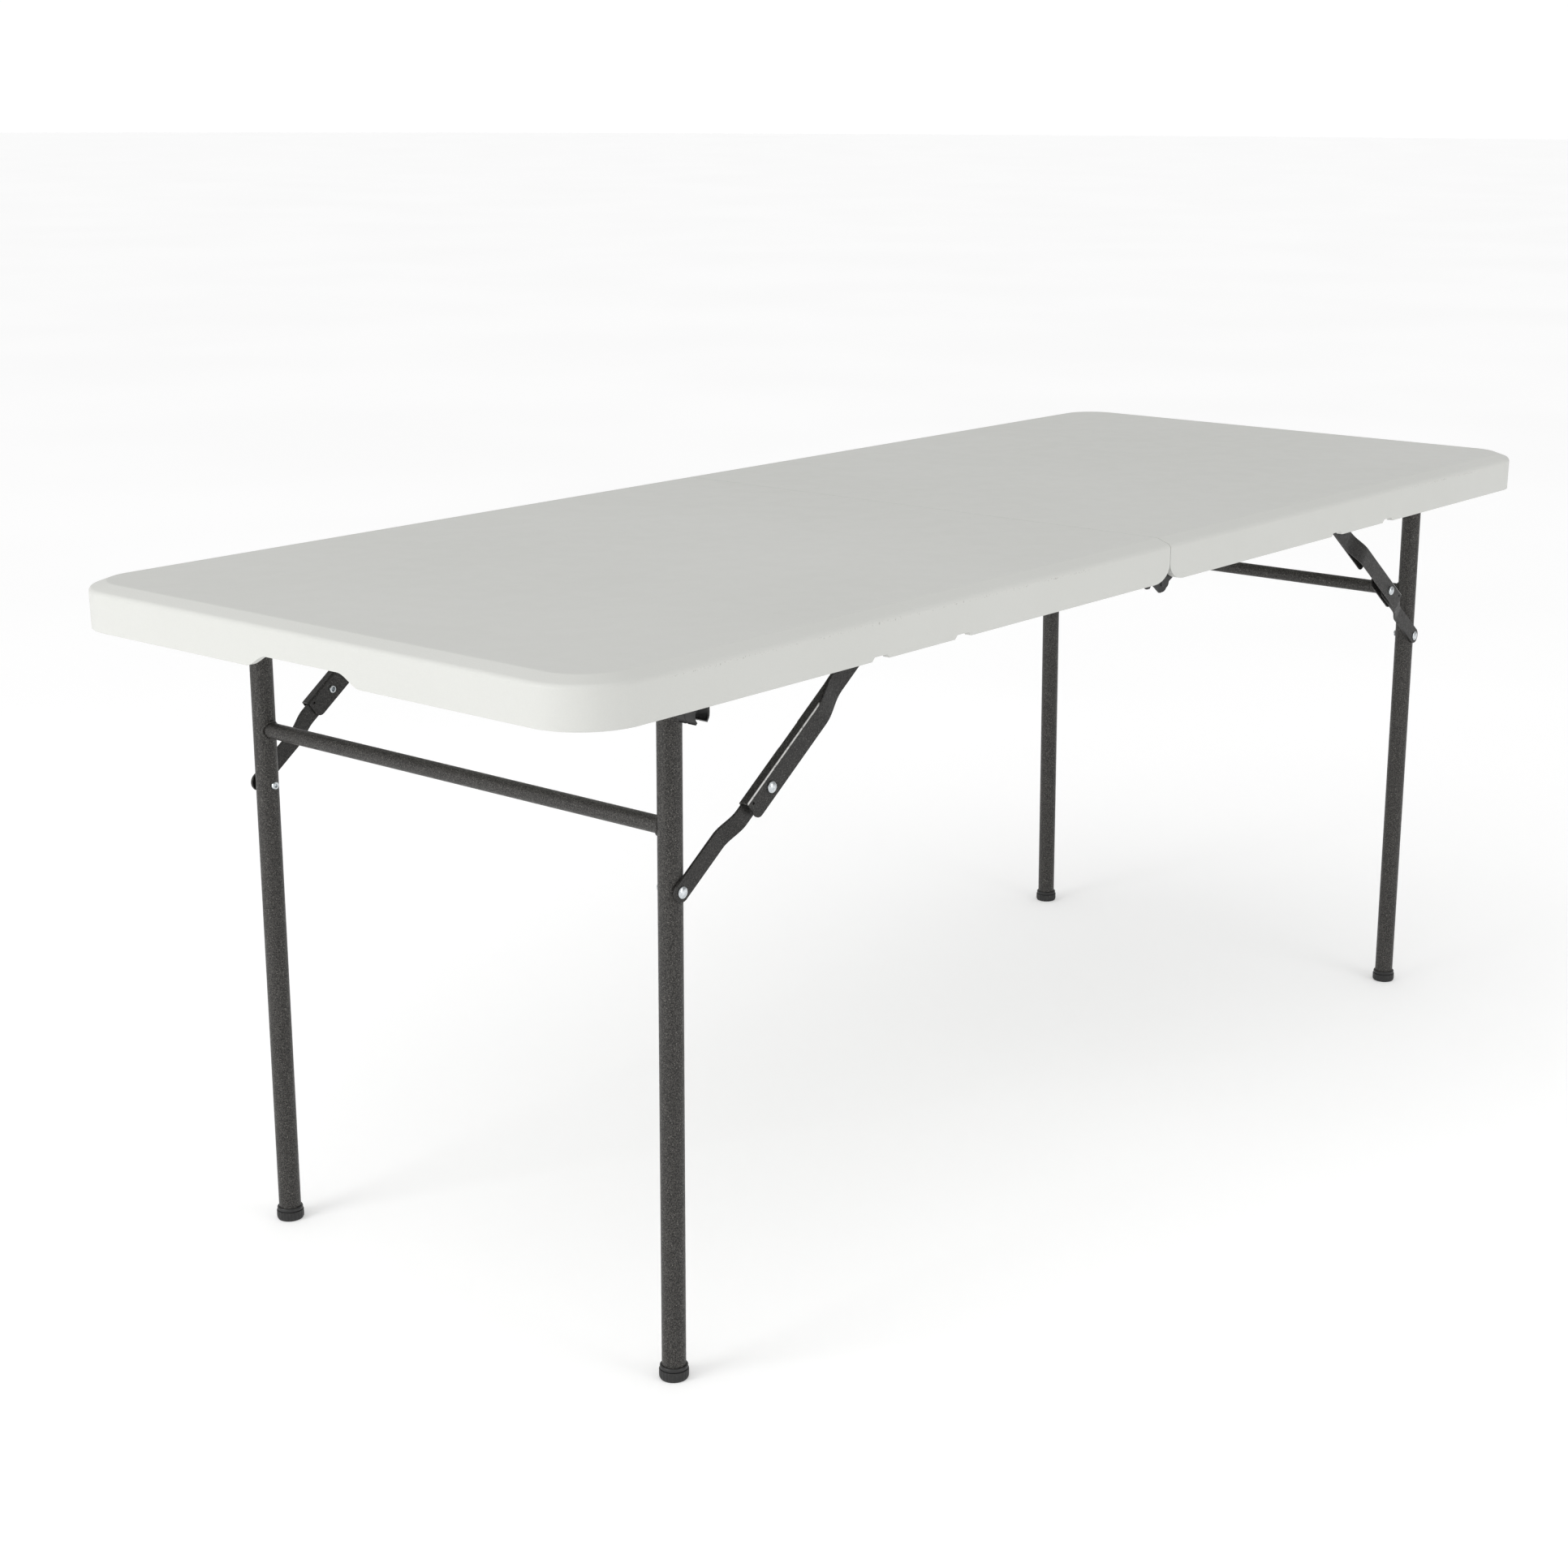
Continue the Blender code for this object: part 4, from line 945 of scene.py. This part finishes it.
def build_end(end):
    base = ENDS[end]
    pivot = base @ Matrix.Translation((PIVOT.x, 0, PIVOT.z)) @ Matrix.Rotation(-SPLAY, 4, "Y")
    upper = base @ Matrix.Translation((UPPER_PIVOT.x, 0, UPPER_PIVOT.z))
    upper = upper @ Matrix.Rotation(BRACE_ANGLE, 4, "Y")
    knuckle = upper @ Matrix.Translation((UPPER_LINK, 0, 0))
    build_top(end)
    on_leg = Place(end, pivot, f"leg_frame_{end}")
    piece("pivot_tube", cross_tube(PIVOT_TUBE_RADIUS, PIVOT_TUBE_WALL, PIVOT_TUBE_OUT), STEEL, on_leg)
    bar = cross_tube(CROSSBAR_RADIUS, CROSSBAR_WALL, LEG_OUT - LEG_RADIUS / 3)
    moved(bar, z=-CROSSBAR_BELOW)
    saddles = []
    for side in (-1, 1):
        saddle = rod(LEG_RADIUS + GAP, LEG_RADIUS * 2, TUBE_SIDES, "Z")
        saddles.append(moved(saddle, y=side * LEG_OUT, z=-CROSSBAR_BELOW))
    piece("crossbar", bar, STEEL, on_leg, saddles)
    for side in (-1, 1):
        build_side(end, side, (base, pivot, upper, knuckle))


for end in ENDS:
    build_end(end)
for place in ("near", "far"):
    hinge_pin(place)
    for end in ENDS:
        fine_copy(f"fold_hinge_leaf_{end}_{place}", HINGE, 0.0005)


# ---------------------------------------------------------------- studio
def build_floor():
    """A wide round floor; the lights and the sky round it make it nearly white."""
    below_feet = -0.0002
    bm = bmesh.new()
    bmesh.ops.create_circle(bm, cap_ends=True, segments=96, radius=60.0)
    moved(bm, z=below_feet)
    floor = as_object("studio_floor", bm)
    floor.data.materials.append(floor_paint())


def softbox(name, place, target, size, power):
    light = bpy.data.lights.new(name, "AREA")
    light.shape = "RECTANGLE"
    light.size, light.size_y = size
    light.energy = power
    obj = bpy.data.objects.new(name, light)
    bpy.context.scene.collection.objects.link(obj)
    obj.location = place
    direction = Vector(target) - Vector(place)
    obj.rotation_euler = direction.to_track_quat("-Z", "Y").to_euler()
    obj.visible_camera = False
    return obj


def ramp(tree, value, low, high, to_low, to_high):
    """Smooth step of a value between two limits."""
    node = tree.nodes.new("ShaderNodeMapRange")
    node.interpolation_type = "SMOOTHSTEP"
    tree.links.new(value, node.inputs["Value"])
    settings = {"From Min": low, "From Max": high, "To Min": to_low, "To Max": to_high}
    for key, number in settings.items():
        node.inputs[key].default_value = number
    return node.outputs["Result"]


def combine(tree, operation, a, b):
    node = tree.nodes.new("ShaderNodeMath")
    node.operation = operation
    tree.links.new(a, node.inputs[0])
    tree.links.new(b, node.inputs[1])
    return node.outputs[0]


def build_sky():
    """Pale room, bright overhead and to the left, with a low white backdrop at the far right."""
    backdrop_towards = (0.784, 0.621, 0.0)
    glow_from = (-0.80, -0.25, 0.545)
    room = 0.40
    overhead = 0.80
    glow = 0.45
    white = 1.02
    world = bpy.data.worlds.new("studio")
    bpy.context.scene.world = world
    world.use_nodes = True
    tree = world.node_tree
    direction = tree.nodes.new("ShaderNodeTexCoord").outputs["Generated"]
    split = tree.nodes.new("ShaderNodeSeparateXYZ")
    tree.links.new(direction, split.inputs["Vector"])
    facing = []
    for target in (backdrop_towards, glow_from):
        node = tree.nodes.new("ShaderNodeVectorMath")
        node.operation = "DOT_PRODUCT"
        node.inputs[1].default_value = target
        tree.links.new(direction, node.inputs[0])
        facing.append(node.outputs["Value"])
    dome = ramp(tree, split.outputs["Z"], 0.0, 1.0, room, overhead)
    side_glow = ramp(tree, facing[1], 0.1, 1.0, 0.0, glow)
    across = ramp(tree, facing[0], 0.62, 0.85, 0.0, white)
    low = ramp(tree, split.outputs["Z"], 0.10, 0.30, 1.0, 0.0)
    backdrop = combine(tree, "MULTIPLY", across, low)
    lit_room = combine(tree, "ADD", dome, side_glow)
    background = tree.nodes["Background"]
    background.inputs["Color"].default_value = (1.0, 1.0, 1.0, 1.0)
    tree.links.new(combine(tree, "MAXIMUM", lit_room, backdrop), background.inputs["Strength"])


def build_camera():
    """Beyond the table's near left corner and above its top, looking across it to the far right."""
    place = (-2.3724, -1.8174, 1.2174)
    yaw = 0.9009
    pitch = 0.2990
    roll = 0.0050
    camera = bpy.data.cameras.new("camera")
    camera.sensor_width = 36.0
    camera.lens = 58.07
    camera.shift_x = -0.0518
    camera.shift_y = 0.0487
    camera.clip_end = 200.0
    obj = bpy.data.objects.new("camera", camera)
    bpy.context.scene.collection.objects.link(obj)
    forward = Vector((math.cos(pitch) * math.sin(yaw), math.cos(pitch) * math.cos(yaw), -math.sin(pitch)))
    right = Vector((math.cos(yaw), -math.sin(yaw), 0.0))
    up = right.cross(forward)
    rolled_right = right * math.cos(roll) + up * math.sin(roll)
    rolled_up = up * math.cos(roll) - right * math.sin(roll)
    basis = Matrix((rolled_right, rolled_up, -forward)).transposed().to_4x4()
    obj.matrix_world = Matrix.Translation(place) @ basis
    bpy.context.scene.camera = obj


build_floor()
build_sky()
softbox("left_key", place=(-3.7, 0.9, 1.45), target=(-0.6, 0.0, 0.60), size=(1.6, 2.0), power=43.0)
softbox("front_fill", place=(0.1, -3.8, 1.45), target=(0.0, 0.0, 0.55), size=(1.8, 2.0), power=24.0)
build_camera()
bpy.context.scene.view_settings.view_transform = "Standard"
